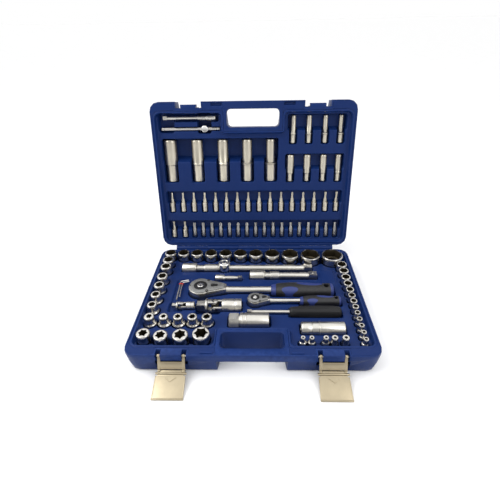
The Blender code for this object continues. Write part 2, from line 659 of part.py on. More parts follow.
def socket_rows():
    """Every joined row of standing sockets."""
    half_z = HALF_TOP_Z - HALF_SOCKET_H
    quarter_z = QUARTER_TOP_Z - QUARTER_SOCKET_H
    places = []
    x = BACK_ROW_START_X - BACK_ROW[0][1] / 2
    for size, mouth in BACK_ROW:
        x += mouth / 2
        places.append((x, BACK_ROW_REAR_Y - mouth / 2, size, mouth, mouth))
        x += mouth / 2 + BACK_ROW_GAP
    row("half_socket_back_row", places, half_z, HALF_SOCKET_H, 8)
    row("half_socket_left_column", [(LEFT_COLUMN_X, y, size, mouth, HALF_DRIVE_D)
                                    for size, mouth, y in LEFT_COLUMN], half_z, HALF_SOCKET_H, 8)
    row("star_socket_upper_row", [(STAR_START_X + i * STAR_PITCH, STAR_UPPER_Y, size, mouth,
                                   HALF_DRIVE_D) for i, (size, mouth) in enumerate(STAR_UPPER)],
        half_z, HALF_SOCKET_H, 8)
    row("star_socket_lower_row", [(x, y, size, mouth, max(mouth, HALF_DRIVE_D))
                                  for size, mouth, x, y in STAR_LOWER], half_z, HALF_SOCKET_H, 8)
    places = []
    y = RIGHT_COLUMN_START_Y
    for i, (size, mouth) in enumerate(RIGHT_COLUMN):
        if i:
            wide = (max(mouth, QUARTER_DRIVE_D) + max(RIGHT_COLUMN[i - 1][1], QUARTER_DRIVE_D)) / 2
            y -= wide + RIGHT_COLUMN_GAP
        places.append((RIGHT_COLUMN_X, y, size, mouth, max(QUARTER_DRIVE_D, mouth)))
    row("quarter_socket_column", places, quarter_z, QUARTER_SOCKET_H, 7)
    row("small_star_socket_row", [(x, SMALL_STAR_Y, size, mouth, QUARTER_DRIVE_D)
                                  for size, mouth, x in SMALL_STAR], quarter_z, QUARTER_SOCKET_H, 7)


def deep_body(x, z, span, mouth_d, drive_d, waist, segments):
    """Deep socket lying along s: drive end near the hinge, mouth away from it."""
    length = span[1] - span[0]
    neck = length * waist
    profile = ((0, drive_d / 2 - 1.2), (neck, drive_d / 2 - 1.2), (neck + 1.0, drive_d / 2),
               (neck + 4, mouth_d / 2), (length, mouth_d / 2))
    return turned(profile, (x, span[0], z), (0, 1, 0), segments)


def along_s(outline, x, z, s0, s1):
    """Prism over an outline in the x-z plane, from one s to another."""
    solid = prism(outline, s0, s1)
    return move(solid, Matrix(((1, 0, 0, x), (0, 0, 1, 0), (0, -1, 0, z), (0, 0, 0, 1))))


def square(side):
    """Square outline about the origin."""
    h = side / 2
    return [(-h, -h), (h, -h), (h, h), (-h, h)]


def lid_sockets(lid):
    """Deep sockets, bit sockets and bits, in the lid's own drawing."""
    for size, mouth, x in DEEP_HALF:
        body = deep_body(x, DEEP_HALF_Z, DEEP_HALF_S, mouth, HALF_DRIVE_D + 1, 0.4, 10)
        cut(body, along_s(hexagon(0, 0, size), x, DEEP_HALF_Z, DEEP_HALF_S[1] - 36, DEEP_HALF_S[1] + 3),
            along_s(square(HALF_SQUARE), x, DEEP_HALF_Z, DEEP_HALF_S[0] - 3, DEEP_HALF_S[0] + 16))
        finish(body, "deep_half_socket_%d" % size, STEEL, origin=(x, DEEP_HALF_S[0], DEEP_HALF_Z),
               parent=lid)
    for name, rows, span in (("deep_quarter_upper_row", DEEP_QUARTER_UPPER, UPPER_S),
                             ("deep_quarter_lower_row", DEEP_QUARTER_LOWER, LOWER_S)):
        bodies = [deep_body(x, DEEP_QUARTER_Z, span, mouth, QUARTER_DRIVE_D, 0.3, 7)
                  for size, mouth, x in rows]
        mouths = [along_s(hexagon(0, 0, size), x, DEEP_QUARTER_Z, span[1] - 22, span[1] + 3)
                  for size, mouth, x in rows]
        solid = merge(bodies)
        bar_s = span[0] + 6
        link_row(solid, rows[0][2], rows[-1][2], bar_s, DEEP_QUARTER_Z)
        cut(solid, merge(mouths))
        finish(solid, name, STEEL, origin=(rows[0][2], span[0], DEEP_QUARTER_Z), parent=lid)
    pitch = (BIT_SOCKET_X[1] - BIT_SOCKET_X[0]) / (BIT_SOCKETS - 1)
    xs = [BIT_SOCKET_X[0] + i * pitch for i in range(BIT_SOCKETS)]
    solid = merge([bit_socket(x, BIT_SOCKET_S) for x in xs])
    link_row(solid, xs[0], xs[-1], BIT_SOCKET_S[0] + 6, BIT_Z)
    finish(solid, "bit_socket_row", STEEL, origin=(xs[0], BIT_SOCKET_S[0], BIT_Z), parent=lid)
    pitch = (BIT_X[1] - BIT_X[0]) / (BITS - 1)
    xs = [BIT_X[0] + i * pitch for i in range(BITS)]
    pieces = [bit_socket(x, LOWER_BIT_SOCKET_S) for x in LOWER_BIT_SOCKET_X]
    pieces += [along_s(hexagon(0, 0, 7.6), x, BIT_Z, BIT_S[0], BIT_S[1]) for x in xs]
    solid = merge(pieces)
    link_row(solid, LOWER_BIT_SOCKET_X[0], xs[-1], BIT_S[0] + 6, BIT_Z)
    finish(solid, "bit_row", STEEL, origin=(xs[0], BIT_S[0], BIT_Z), parent=lid)


def link_row(solid, x0, x1, s, z):
    """Thin strip that joins a lying row through its middle."""
    add(solid, box(x0, x1, s, s + 1.4, z - 0.7, z + 0.7))


def bit_socket(x, span):
    """Short quarter-inch socket with a bit fixed in its end."""
    start, shoulder, tip = span
    profile = ((0, 5.4), (shoulder - start, 5.4), (shoulder - start + 1.5, 3.0),
               (tip - start, 1.8))
    return turned(profile, (x, start, BIT_Z), (0, 1, 0), 6)


# ---------------------------------------------------------------- bars and handles
def extension(name, start, end, square_side, radii, knurl, parent=None, segments=10):
    """Extension bar along x: female end at start, male square at end."""
    start, end = Vector(start), Vector(end)
    axis = (end - start).normalized()
    length = (end - start).length
    big, slim, ring = radii
    head = big * 2.6
    male = square_side * 1.25
    profile = [(0, big), (head, big), (head + 2, slim), (knurl[0], slim), (knurl[0] + 1, ring),
               (knurl[1] - 1, ring), (knurl[1], slim), (length - male - 3, slim),
               (length - male - 1, square_side * 0.49), (length - male, square_side * 0.49)]
    bar = turned(profile, start, axis, segments)
    half = square_side / 2
    x_male = sorted((end.x, end.x - axis.x * (male + 2)))
    add(bar, box(x_male[0], x_male[1], start.y - half, start.y + half, start.z - half, start.z + half))
    x_hole = sorted((start.x - axis.x * 3, start.x + axis.x * male))
    hole = half + 0.1
    cut(bar, box(x_hole[0], x_hole[1], start.y - hole, start.y + hole, start.z - hole, start.z + hole))
    finish(bar, name, STEEL, origin=start, parent=parent)


def bars(lid):
    """Four extension bars, the T-adapter, the T-bar and its slider."""
    for name, plan, side, parent in (("extension_bar_250", LONG_BAR, HALF_SQUARE, None),
                                     ("extension_bar_125", SHORT_BAR, HALF_SQUARE, None),
                                     ("extension_bar_50", SMALL_BAR, QUARTER_SQUARE, None),
                                     ("extension_bar_100", LID_BAR, QUARTER_SQUARE, lid)):
        start, end, radii, knurl = plan
        extension(name, start, end, side, radii, knurl, parent)
    x, y, bar_z = ADAPTER_X, LONG_BAR[0][1], LONG_BAR[0][2]
    slim, rise = ADAPTER_R - ADAPTER_CHAMFER, ADAPTER_H - 1.5
    adapter = turned(((0, slim), (1.5, ADAPTER_R), (rise, ADAPTER_R), (ADAPTER_H, slim)),
                     (x, y, ADAPTER_FOOT_Z), (0, 0, 1), 14)
    half = HALF_SQUARE / 2 + 0.05
    cut(adapter, rod((x - 23.4, y, bar_z), (x + 26.6, y, bar_z), ADAPTER_BORE_R, 12),
        box(x - half, x + half, y - half, y + half, ADAPTER_FOOT_Z - 10, ADAPTER_FOOT_Z + 10))
    finish(adapter, "t_adapter", STEEL, origin=(x, y, bar_z))
    slim, end = TEE_R - 0.8, TEE_LENGTH - 1.2
    bar = turned(((0, slim), (1.2, TEE_R), (end, TEE_R), (TEE_LENGTH, slim)), TEE_START, (1, 0, 0), 10)
    finish(bar, "t_bar", STEEL, origin=TEE_START, parent=lid)
    x, s, z = SLIDER_X, TEE_START[1], SLIDER_FOOT_Z
    slim, rise = SLIDER_R - 1.0, SLIDER_H - 0.8
    slider = turned(((0, slim), (0.8, SLIDER_R), (rise, SLIDER_R), (SLIDER_H, slim)), (x, s, z),
                    (0, 0, 1), 14)
    half = SLIDER_SQUARE_HALF
    add(slider, box(x - half, x + half, s - half, s + half, SLIDER_SQUARE_Z, z + 1.6))
    cut(slider, rod((x - 20, s, TEE_START[2]), (x + 20, s, TEE_START[2]), SLIDER_BORE_R, 10))
    finish(slider, "t_slider", STEEL, origin=(x, s, TEE_START[2]), parent=lid)


def spark_socket(name, plan):
    """Spark plug socket lying along x, hexagon drive end at x0."""
    x0, x1, y, z, r, af = plan
    square_half = HALF_SQUARE / 2
    hex_end = (x1 - x0) * 0.26
    body = turned(((0, r * 0.93), (hex_end, r * 0.93), (hex_end + 1.5, r), (x1 - x0, r)),
                  (x0, y, z), (1, 0, 0), 12)
    turn = Matrix.Translation((0, y, z)) @ Matrix.Rotation(pi / 2, 4, "Y")
    cut(body, move(prism(hexagon(0, 0, af), x1 - 44, x1 + 3), turn),
        box(x0 - 3, x0 + 15, y - square_half, y + square_half, z - square_half, z + square_half))
    finish(body, name, STEEL, origin=(x0, y, z))


def hex_keys():
    """Two L-shaped hex keys side by side in a small clip."""
    z = KEY_Z
    for name, plan in (("hex_key_large", LARGE_KEY), ("hex_key_small", SMALL_KEY)):
        x, y, reach, down, side = plan
        r = side / 2 / cos(pi / 6)
        long_arm = rod((x, y + side / 2, z), (x + KEY_LEAN, y - down, z), r, 6)
        short_arm = rod((x - side / 2, y, z), (x + reach, y + KEY_RISE, z), r, 6)
        finish(add(long_arm, short_arm), name, STEEL, origin=(x, y, z))
    clip = box(-137.4, -127.0, 27.5, 31.5, 28.2, 34.0)
    cut(clip, box(-136.1, -132.2, 20, 45, 29.8, 33.2), box(-131.9, -128.3, 20, 45, 30.0, 33.0))
    finish(clip, "hex_key_clip", RED, origin=(-132, 29.5, KEY_Z))


def spinner():
    """Quarter-inch spinner handle along x."""
    y, z, r = SPINNER_Y, SPINNER_Z, SPINNER_SHAFT_R
    half = QUARTER_SQUARE / 2 - 0.005
    shaft = turned(((0, r), (62, r), (63, r), (SPINNER_SHAFT_LENGTH, r)), (SPINNER_SHAFT_X, y, z),
                   (1, 0, 0), 10)
    add(shaft, box(SPINNER_SQUARE_X, SPINNER_SHAFT_X + 0.5, y - half, y + half, z - half, z + half))
    finish(shaft, "spinner_shaft", STEEL, origin=(SPINNER_SQUARE_X, y, z))
    grip = turned(SPINNER_GRIP, (SPINNER_GRIP_X, y, z), (1, 0, 0), 12)
    shaft_end = SPINNER_SHAFT_X + SPINNER_SHAFT_LENGTH
    cut(grip, rod((SPINNER_GRIP_X - 10.5, y, z), (shaft_end + 0.5, y, z), r + 0.4, 10))
    finish(grip, "spinner_grip", BLACK, origin=(SPINNER_GRIP_X, y, z))


def joint_yokes(prefix, plan, square_side):
    """Universal joint along x: female yoke at +x, male yoke at -x, cross between."""
    (cx, y, z), r, female_len, male_len = plan
    arm, web, eye = r * 0.42, r * 1.0, r * 0.42
    inner = r * 0.56

    def yoke(direction, length, across_y):
        end = cx + direction * (web + length)
        solid = rod((cx + direction * web, y, z), (end, y, z), r, 10)
        for side in (-1, 1):
            lo, hi = sorted((side * inner, side * (r * 0.9)))
            xs = sorted((cx, cx + direction * (web + 1)))
            if across_y:
                add(solid, box(xs[0], xs[1], y + lo, y + hi, z - arm, z + arm),
                    rod((cx, y + lo, z), (cx, y + hi, z), eye, 8))
            else:
                add(solid, box(xs[0], xs[1], y - arm, y + arm, z + lo, z + hi),
                    rod((cx, y, z + lo), (cx, y, z + hi), eye, 8))
        if across_y:
            cut(solid, rod((cx, y - 2 * r, z), (cx, y + 2 * r, z), r * 0.2 + 0.25, 8))
        else:
            cut(solid, rod((cx, y, z - 2 * r), (cx, y, z + 2 * r), r * 0.2 + 0.25, 8))
        return solid, end

    female, end = yoke(1, female_len, True)
    half = square_side / 2 + 0.1
    cut(female, box(end - square_side * 1.2, end + 3, y - half, y + half, z - half, z + half))
    finish(female, prefix + "_joint_female_yoke", STEEL, origin=(cx, y, z))
    male, end = yoke(-1, male_len, False)
    half = square_side / 2
    add(male, box(end - square_side * 1.15, end + 1, y - half, y + half, z - half, z + half))
    finish(male, prefix + "_joint_male_yoke", STEEL, origin=(cx, y, z))
    core = inner - 0.4
    cross = box(cx - core, cx + core, y - core, y + core, z - core, z + core)
    add(cross, rod((cx, y - r * 0.88, z), (cx, y + r * 0.88, z), r * 0.2, 8),
        rod((cx, y, z - r * 0.88), (cx, y, z + r * 0.88), r * 0.2, 8))
    finish(cross, prefix + "_joint_cross", STEEL, origin=(cx, y, z))


def pear(x, y, r, neck_x, neck_half, segments=12):
    """Ratchet head outline: a round head that tapers to the neck."""
    points = []
    start = 0.9
    for k in range(segments + 1):
        a = start + (2 * pi - 2 * start) * k / segments
        points.append((x + r * cos(a), y + r * sin(a)))
    return points + [(neck_x - 6, y - neck_half * 1.25), (neck_x, y - neck_half),
                     (neck_x, y + neck_half), (neck_x - 6, y + neck_half * 1.25)]


def ratchet(prefix, plan, square_side):
    """Ratchet lying along x; k scales its head, which has its selector side up."""
    x, y, k, top, head_t, neck_x, grip_x, end_x, grip_r = plan
    head_r = HEAD_R * k
    shaft_r = RATCHET_SHAFT_R * k
    plate_t = COVER_T
    ring_r = DRIVE_RING_R * k
    head_top = top - plate_t - GAP
    head = prism(pear(x, y, head_r, neck_x, shaft_r), head_top - head_t, head_top)
    shaft_z = head_top - head_t / 2
    add(head, rod((neck_x - 3, y, shaft_z), (grip_x + 2, y, shaft_z), shaft_r, 12),
        rod((grip_x, y, shaft_z), (end_x - TANG_END, y, shaft_z), shaft_r * TANG_SLIM, 10))
    cut(head, rod((x, y, 0), (x, y, 80), ring_r + 0.3, 18))
    finish(head, prefix + "_ratchet_body", STEEL, origin=(x, y, shaft_z))
    lever_x = x + head_r * 1.02
    plate = prism(pear(x, y, head_r - 1.2, neck_x - 3, 5.6 * k), top - plate_t, top)
    cut(plate, rod((x, y, 0), (x, y, 80), ring_r + 0.3, 18),
        rod((lever_x, y, 0), (lever_x, y, 80), (SELECTOR_R + 0.1) * k + 0.3, 10))
    finish(plate, prefix + "_ratchet_cover", GREY, origin=(x, y, top))
    drive = turned(((0, ring_r - 1), (1, ring_r), (head_t + plate_t - 0.5, ring_r),
                    (head_t + plate_t + 0.5, ring_r - 1)), (x, y, head_top - head_t), (0, 0, 1), 18)
    half = square_side / 2
    drop = square_side * 1.2
    add(drive, box(x - half, x + half, y - half, y + half, head_top - head_t - drop,
                   head_top - head_t + 1))
    button_r = BUTTON_R * k
    cut(drive, rod((x, y, top - 7 * k), (x, y, top + 5), button_r + 0.3, 12))
    finish(drive, prefix + "_ratchet_drive", STEEL, origin=(x, y, head_top))
    button = turned(((0, button_r), (4.4 * k, button_r), (5.4 * k, button_r - 1.2)),
                    (x, y, top - 4.0 * k), (0, 0, 1), 12)
    finish(button, prefix + "_ratchet_button", STEEL, origin=(x, y, top))
    lever = rod((lever_x, y, top - plate_t + 0.05), (lever_x, y, top + 0.9), SELECTOR_R * k, 10)
    add(lever, box(lever_x, lever_x + SELECTOR_REACH * k, y - 1.8 * k, y + 1.8 * k, top + 0.35, top + 2.2))
    finish(lever, prefix + "_ratchet_lever", BLACK, origin=(lever_x, y, top))
    length = end_x - grip_x
    waist = [(length * at, size) for at, size in GRIP_WAIST]
    profile = ((0, 0.62), (2.5, 0.72), *waist, (length - 1, 0.62))
    grip = turned([(d, grip_r * f) for d, f in profile], (0, 0, 0), (1, 0, 0), 10)
    move(grip, Matrix.Translation((grip_x + 0.4, y, shaft_z)) @ Matrix.Diagonal((1, 1, GRIP_FLATNESS, 1)))
    cut(grip, rod((grip_x - 3, y, shaft_z), (grip_x + 2.3, y, shaft_z), shaft_r + 0.3, 12),
        rod((grip_x - 1, y, shaft_z), (end_x - TANG_END + 1, y, shaft_z),
            shaft_r * TANG_SLIM + 0.3, 10),
        rod((end_x - length * 0.12, y, 0), (end_x - length * 0.12, y, 80), grip_r * 0.3, 10))
    finish(grip, prefix + "_ratchet_grip", RUBBER, origin=(grip_x, y, shaft_z))


def build():
    """Make every piece of the set."""
    clear_scene()
    lid = bpy.data.objects.new("lid_frame", None)
    bpy.context.collection.objects.link(lid)
    lid.location = Vector((0, HINGE_Y, RIM_Z)) * MM
    lid.rotation_euler = (radians(LID_TILT), 0, 0)
    base_shell()
    base_tray()
    lid_shell(lid)
    lid_tray(lid)
    hinge_pin()
    for side, x in zip(("left", "right"), LATCH_X):
        latch(side, x)
    socket_rows()
    lid_sockets(lid)
    bars(lid)
    spark_socket("spark_plug_socket_21", SPARK_21)
    spark_socket("spark_plug_socket_16", SPARK_16)
    hex_keys()
    spinner()
    joint_yokes("half", HALF_JOINT, HALF_SQUARE)
    joint_yokes("quarter", QUARTER_JOINT, QUARTER_SQUARE)
    ratchet("half", HALF_RATCHET, HALF_SQUARE)
    ratchet("quarter", QUARTER_RATCHET, QUARTER_SQUARE)


build()
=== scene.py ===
"""Socket wrench set in an open moulded carrying case.

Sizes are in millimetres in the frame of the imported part: the base lies on z = 0 with its
latches towards -Y. Lid pieces are drawn flat, x along the hinge, y away from it and z out of
the lid, and are then stood up at the hinge.
"""

import logging
from dataclasses import dataclass
from enum import Enum
from math import atan2, cos, pi, radians, sin
from typing import Callable, Optional, Sequence

import bmesh
import bpy
import numpy as np
from mathutils import Matrix, Vector


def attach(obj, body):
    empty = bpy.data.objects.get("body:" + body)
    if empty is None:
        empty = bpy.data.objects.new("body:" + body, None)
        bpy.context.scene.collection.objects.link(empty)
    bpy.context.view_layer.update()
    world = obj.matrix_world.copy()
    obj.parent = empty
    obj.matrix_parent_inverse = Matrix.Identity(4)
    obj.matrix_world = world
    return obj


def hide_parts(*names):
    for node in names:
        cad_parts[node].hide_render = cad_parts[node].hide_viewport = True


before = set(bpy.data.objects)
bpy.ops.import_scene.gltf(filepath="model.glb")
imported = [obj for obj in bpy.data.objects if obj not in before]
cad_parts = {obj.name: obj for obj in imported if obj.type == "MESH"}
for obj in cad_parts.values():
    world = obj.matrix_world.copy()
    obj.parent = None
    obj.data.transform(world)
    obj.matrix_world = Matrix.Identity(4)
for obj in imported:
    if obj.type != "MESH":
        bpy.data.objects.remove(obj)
LOG = logging.getLogger("socket_set")

Colour = tuple[float, float, float]
Section = Callable[[float], float]
Point = tuple[float, float, float]
Pair = tuple[float, float]
Outline = Sequence[Pair]
Finish = bpy.types.Material
Wire = bpy.types.NodeSocket

MM = 0.001
HINGE_Y = 144.0
RIM_Z = 38.4
LID_TILT = 79.0
FLAT = Matrix.Identity(4)
LID = Matrix.Translation((0.0, HINGE_Y, RIM_Z)) @ Matrix.Rotation(radians(LID_TILT), 4, "X")
ALONG_X = Matrix(((0, 0, 1, 0), (1, 0, 0, 0), (0, 1, 0, 0), (0, 0, 0, 1)))
ALONG_Y = Matrix(((1, 0, 0, 0), (0, 0, 1, 0), (0, -1, 0, 0), (0, 0, 0, 1)))
HALF_SQUARE = 12.7
QUARTER_SQUARE = 6.35
HINGE_HALF = 161.0
KNUCKLE_COUNT = 5
KNUCKLE_RADIUS = 4.36
LATCH_X = 117.0
STOP_X = 66.0
SOCKET_SINK = 0.3
RATCHET_HEAD = 21.0
RATCHET_BORE = 12.1
SELECTOR_AT = 21.42


# ---------------------------------------------------------------- finishes
class Shader:
    """Node tree of one material, with short ways to add and join nodes."""

    def __init__(self, name: str) -> None:
        """Start a material that holds a Principled shader.

        Args:
            name: Name of the material.
        """
        self.material = bpy.data.materials.new(name)
        self.material.use_nodes = True
        self.tree = self.material.node_tree
        self.surface = self.tree.nodes["Principled BSDF"]
        self.coords = self.tree.nodes.new("ShaderNodeTexCoord")

    def node(self, kind: str, **inputs: object) -> bpy.types.Node:
        """Add a node and set its inputs.

        Args:
            kind: Node type, without its common prefix.
            inputs: Values or sockets by input name, with spaces as underscores.

        Returns:
            The new node.
        """
        new = self.tree.nodes.new("ShaderNode" + kind)
        for name, value in inputs.items():
            self.put(new, name.replace("_", " "), value)
        return new

    def put(self, node: bpy.types.Node, name: str, value: object) -> None:
        """Set or link one input of a node.

        Args:
            node: Node that takes the input.
            name: Name of the input.
            value: A constant, or an output socket to link.
        """
        if isinstance(value, Wire):
            self.tree.links.new(value, node.inputs[name])
        else:
            node.inputs[name].default_value = value

    def dress(self, **inputs: object) -> None:
        """Set or link inputs of the surface, with spaces as underscores."""
        for name, value in inputs.items():
            self.put(self.surface, name.replace("_", " "), value)

    def join(self, operation: str, first: Wire, second: Wire) -> Wire:
        """Join two values by a sum of one kind.

        Args:
            operation: Kind of sum.
            first: First value socket.
            second: Second value socket.

        Returns:
            The result socket.
        """
        node = self.node("Math")
        node.operation = operation
        self.tree.links.new(first, node.inputs[0])
        self.tree.links.new(second, node.inputs[1])
        return node.outputs[0]

    def mottle(self, scale: float, detail: float, first: Colour, second: Colour) -> Wire:
        """Blend two close tones in soft clouds.

        Args:
            scale: Cells per metre.
            detail: Finer octaves.
            first: Main tone.
            second: Tone of the clouds.

        Returns:
            The colour socket.
        """
        return self.blend(self.span(self.noise(scale, detail), 0.0, 1.0), first, second)

    def noise(self, scale: float, detail: float = 2.0,
              stretch: Point = (1.0, 1.0, 1.0)) -> Wire:
        """Add a noise on the piece's own coordinates.

        Args:
            scale: Cells per metre.
            detail: Finer octaves.
            stretch: Scale along each axis, which gives brushed grain.

        Returns:
            The noise value socket.
        """
        place = self.node("Mapping", Vector=self.coords.outputs["Object"], Scale=stretch)
        noise = self.node("TexNoise", Vector=place.outputs["Vector"], Scale=scale, Detail=detail)
        return noise.outputs["Fac"]

    def span(self, value: Wire, low: float, high: float,
             start: float = 0.3, end: float = 0.7) -> Wire:
        """Map a pattern value onto a range.

        Args:
            value: Pattern socket.
            low: Result at start.
            high: Result at end.
            start: Pattern value that gives low.
            end: Pattern value that gives high.

        Returns:
            The mapped socket.
        """
        node = self.node("MapRange", Value=value, From_Min=start, From_Max=end, To_Min=low,
                         To_Max=high)
        return node.outputs["Result"]

    def blend(self, mask: Wire, first: object, second: object) -> Wire:
        """Mix two colours by a mask.

        Args:
            mask: Socket from zero to one.
            first: Colour, or colour socket, at zero.
            second: Colour, or colour socket, at one.

        Returns:
            The mixed colour socket.
        """
        mix = self.tree.nodes.new("ShaderNodeMix")
        mix.data_type = "RGBA"
        self.tree.links.new(mask, mix.inputs["Factor"])
        for index, value in ((6, first), (7, second)):
            if isinstance(value, Wire):
                self.tree.links.new(value, mix.inputs[index])
            else:
                mix.inputs[index].default_value = (*value, 1.0)
        return mix.outputs[2]

    def relief(self, height: Wire, strength: float, depth: float) -> None:
        """Give the surface a fine relief.

        Args:
            height: Pattern socket.
            strength: Weight of the relief.
            depth: Height of the relief in metres.
        """
        previous = self.surface.inputs["Normal"]
        bump = self.node("Bump", Height=height, Strength=strength, Distance=depth)
        if previous.is_linked:
            self.tree.links.new(previous.links[0].from_socket, bump.inputs["Normal"])
        self.tree.links.new(bump.outputs["Normal"], previous)

    def worn_and_lit_edges(self, start: float = 0.52, end: float = 0.62) -> Wire:
        """Return a mask of the convex edges.

        Args:
            start: Pointiness where the wear and the painted edge highlight begin.
            end: Pointiness where it is full.

        Returns:
            Mask socket from zero to one, for scuff wear and a painted edge highlight.
        """
        geometry = self.node("NewGeometry")
        return self.span(geometry.outputs["Pointiness"], 0.0, 1.0, start, end)


@dataclass(frozen=True)
class MouldedPlastic:
    """Blow-moulded or injected plastic with a fine skin texture."""

    name: str
    colour: Colour
    deep: Colour
    # Lighter tone of convex edges: partly scuff wear, partly a painted edge highlight.
    edge_rub_and_highlight: Colour
    roughness: float = 0.42
    skin: float = 0.12

    def material(self) -> Finish:
        """Make the material of this plastic.

        Returns:
            The material.
        """
        shader = Shader(self.name)
        body = shader.mottle(14.0, 3.0, self.colour, self.deep)
        # Convex edges take the lighter tone: scuff wear plus a painted edge highlight.
        rubbed_and_lit = shader.join("MULTIPLY", shader.worn_and_lit_edges(),
                             shader.span(shader.noise(160.0, 4.0), 0.1, 0.75))
        gloss = shader.span(shader.noise(70.0, 5.0), self.roughness - 0.07, self.roughness + 0.1)
        shader.dress(Base_Color=shader.blend(rubbed_and_lit, body, self.edge_rub_and_highlight), Roughness=gloss,
                     Specular_IOR_Level=0.16)
        shader.relief(shader.noise(45.0, 2.0), 0.10, 0.0004)
        shader.relief(shader.noise(1500.0, 2.0), self.skin, 0.00012)
        return shader.material


@dataclass(frozen=True)
class BrushedMetal:
    """Plated steel: tint, gloss and grain direction."""

    name: str
    colour: Colour
    shade: Colour
    roughness: float
    stretch: Point = (1.0, 1.0, 1.0)
    grain: float = 0.10

    def material(self) -> Finish:
        """Make the material of this plating.

        Returns:
            The material.
        """
        shader = Shader(self.name)
        streak = shader.noise(900.0, 3.0, self.stretch)
        gloss = shader.span(streak, self.roughness - 0.04, self.roughness + 0.06)
        shader.dress(Base_Color=shader.mottle(55.0, 4.0, self.colour, self.shade),
                     Metallic=1.0, Roughness=gloss)
        shader.relief(streak, self.grain, 0.00004)
        return shader.material


@dataclass(frozen=True)
class BlastedSteel:
    """Matt bead-blasted plate."""

    name: str
    colour: Colour
    shade: Colour
    roughness: float = 0.5

    def material(self) -> Finish:
        """Make the material of this plate.

        Returns:
            The material.
        """
        shader = Shader(self.name)
        beads = shader.node("TexVoronoi", Vector=shader.coords.outputs["Object"], Scale=2200.0)
        gloss = shader.span(shader.noise(300.0, 4.0), self.roughness - 0.05, self.roughness + 0.12)
        shader.dress(Base_Color=shader.mottle(120.0, 5.0, self.colour, self.shade),
                     Metallic=0.85, Roughness=gloss)
        shader.relief(beads.outputs["Distance"], 0.25, 0.00008)
        return shader.material


@dataclass(frozen=True)
class TwoToneGrip:
    """Rubber grip with inlays: black body, coloured fields set by distance along the handle."""

    name: str
    start_x: float
    end_x: float
    centre_y: float
    half_width: float
    body: Colour = (0.012, 0.012, 0.014)
    inlay: Colour = (0.020, 0.036, 0.165)

    def ellipse(self, shader: Shader, centre: Point, radii: Point) -> Wire:
        """Mask that is one inside an ellipsoid.

        Args:
            shader: Material under construction.
            centre: Centre in millimetres.
            radii: Half lengths in millimetres.

        Returns:
            Mask socket from zero to one.
        """
        scale = tuple(1.0 / (r * MM) for r in radii)
        offset = tuple(-c * MM * k for c, k in zip(centre, scale))
        place = shader.node("Mapping", Vector=shader.coords.outputs["Object"], Location=offset,
                            Scale=scale)
        length = shader.tree.nodes.new("ShaderNodeVectorMath")
        length.operation = "LENGTH"
        shader.tree.links.new(place.outputs["Vector"], length.inputs[0])
        return shader.span(length.outputs["Value"], 1.0, 0.0, 0.985, 1.015)

    def material(self) -> Finish:
        """Make the material of this grip.

        Returns:
            The material.
        """
        shader = Shader(self.name)
        length = self.end_x - self.start_x
        w = self.half_width
        fields = (
            ((self.start_x, self.centre_y, 32.0), (length * 0.085, w * 3.0, w * 4.0)),
            ((self.start_x + length * 0.30, self.centre_y - w * 0.62, 34.0),
             (length * 0.13, w * 0.36, w * 3.0)),
            ((self.start_x + length * 0.62, self.centre_y + w * 0.42, 34.0),
             (length * 0.21, w * 0.42, w * 3.0)),
            ((self.end_x, self.centre_y, 32.0), (length * 0.06, w * 3.0, w * 4.0)),
        )
        masks = [self.ellipse(shader, centre, radii) for centre, radii in fields]
        mask = masks[0]
        for field in masks[1:]:
            mask = shader.join("MAXIMUM", mask, field)
        shader.dress(Base_Color=shader.blend(mask, self.body, self.inlay),
                     Roughness=shader.span(shader.noise(240.0, 4.0), 0.42, 0.62))
        shader.relief(mask, 0.35, 0.0005)
        shader.relief(shader.noise(1800.0, 2.0), 0.2, 0.0001)
        return shader.material


# Third colour of each plastic is its lighter edge tone: scuff wear and a painted edge highlight.
CASE_BLUE = MouldedPlastic("case_blue", (0.0050, 0.0225, 0.115), (0.0042, 0.0190, 0.098),
                           (0.017, 0.046, 0.190))
BLACK_PLASTIC = MouldedPlastic("black_plastic", (0.012, 0.012, 0.013), (0.02, 0.02, 0.021),
                               (0.05, 0.05, 0.05), 0.36, 0.08)
CLIP_RED = MouldedPlastic("clip_red", (0.55, 0.022, 0.015), (0.45, 0.018, 0.012),
                          (0.65, 0.08, 0.05), 0.35, 0.06)
SATIN_CHROME = BrushedMetal("satin_chrome", (0.60, 0.58, 0.54), (0.53, 0.515, 0.485), 0.20,
                            (1.0, 1.0, 0.12), 0.03)
BAR_CHROME = BrushedMetal("bar_chrome", (0.60, 0.58, 0.53), (0.54, 0.525, 0.485), 0.30,
                          (0.10, 1.0, 1.0), 0.03)
LID_CHROME = BrushedMetal("lid_chrome", (0.62, 0.575, 0.475), (0.54, 0.50, 0.415), 0.36,
                          (1.0, 0.6, 0.12), 0.03)
BIT_STEEL = BrushedMetal("bit_steel", (0.47, 0.455, 0.43), (0.38, 0.37, 0.355), 0.34,
                         (1.0, 0.6, 0.12), 0.04)
WARM_NICKEL = BrushedMetal("warm_nickel", (0.44, 0.375, 0.26), (0.385, 0.33, 0.23), 0.40,
                           (1.0, 0.2, 0.2), 0.05)
BRIGHT_CHROME = BrushedMetal("bright_chrome", (0.76, 0.75, 0.72), (0.68, 0.67, 0.65), 0.16,
                             grain=0.02)
BLASTED_PLATE = BlastedSteel("blasted_plate", (0.30, 0.30, 0.29), (0.25, 0.25, 0.245))
DARK_OXIDE = BlastedSteel("dark_oxide", (0.020, 0.017, 0.013), (0.035, 0.031, 0.026), 0.45)
# Dark brown finish inside socket openings and drive holes: painted shade of the deep holes.
BORE_PAINTED_SHADE = BlastedSteel("bore_painted_shade", (0.085, 0.068, 0.040), (0.060, 0.050, 0.032), 0.45)
KEY_STEEL = BrushedMetal("key_steel", (0.70, 0.68, 0.64), (0.62, 0.60, 0.57), 0.3, grain=0.03)


# ---------------------------------------------------------------- shaping
def round_section(radius: float) -> Section:
    """Round section of one radius."""
    return lambda turn: radius


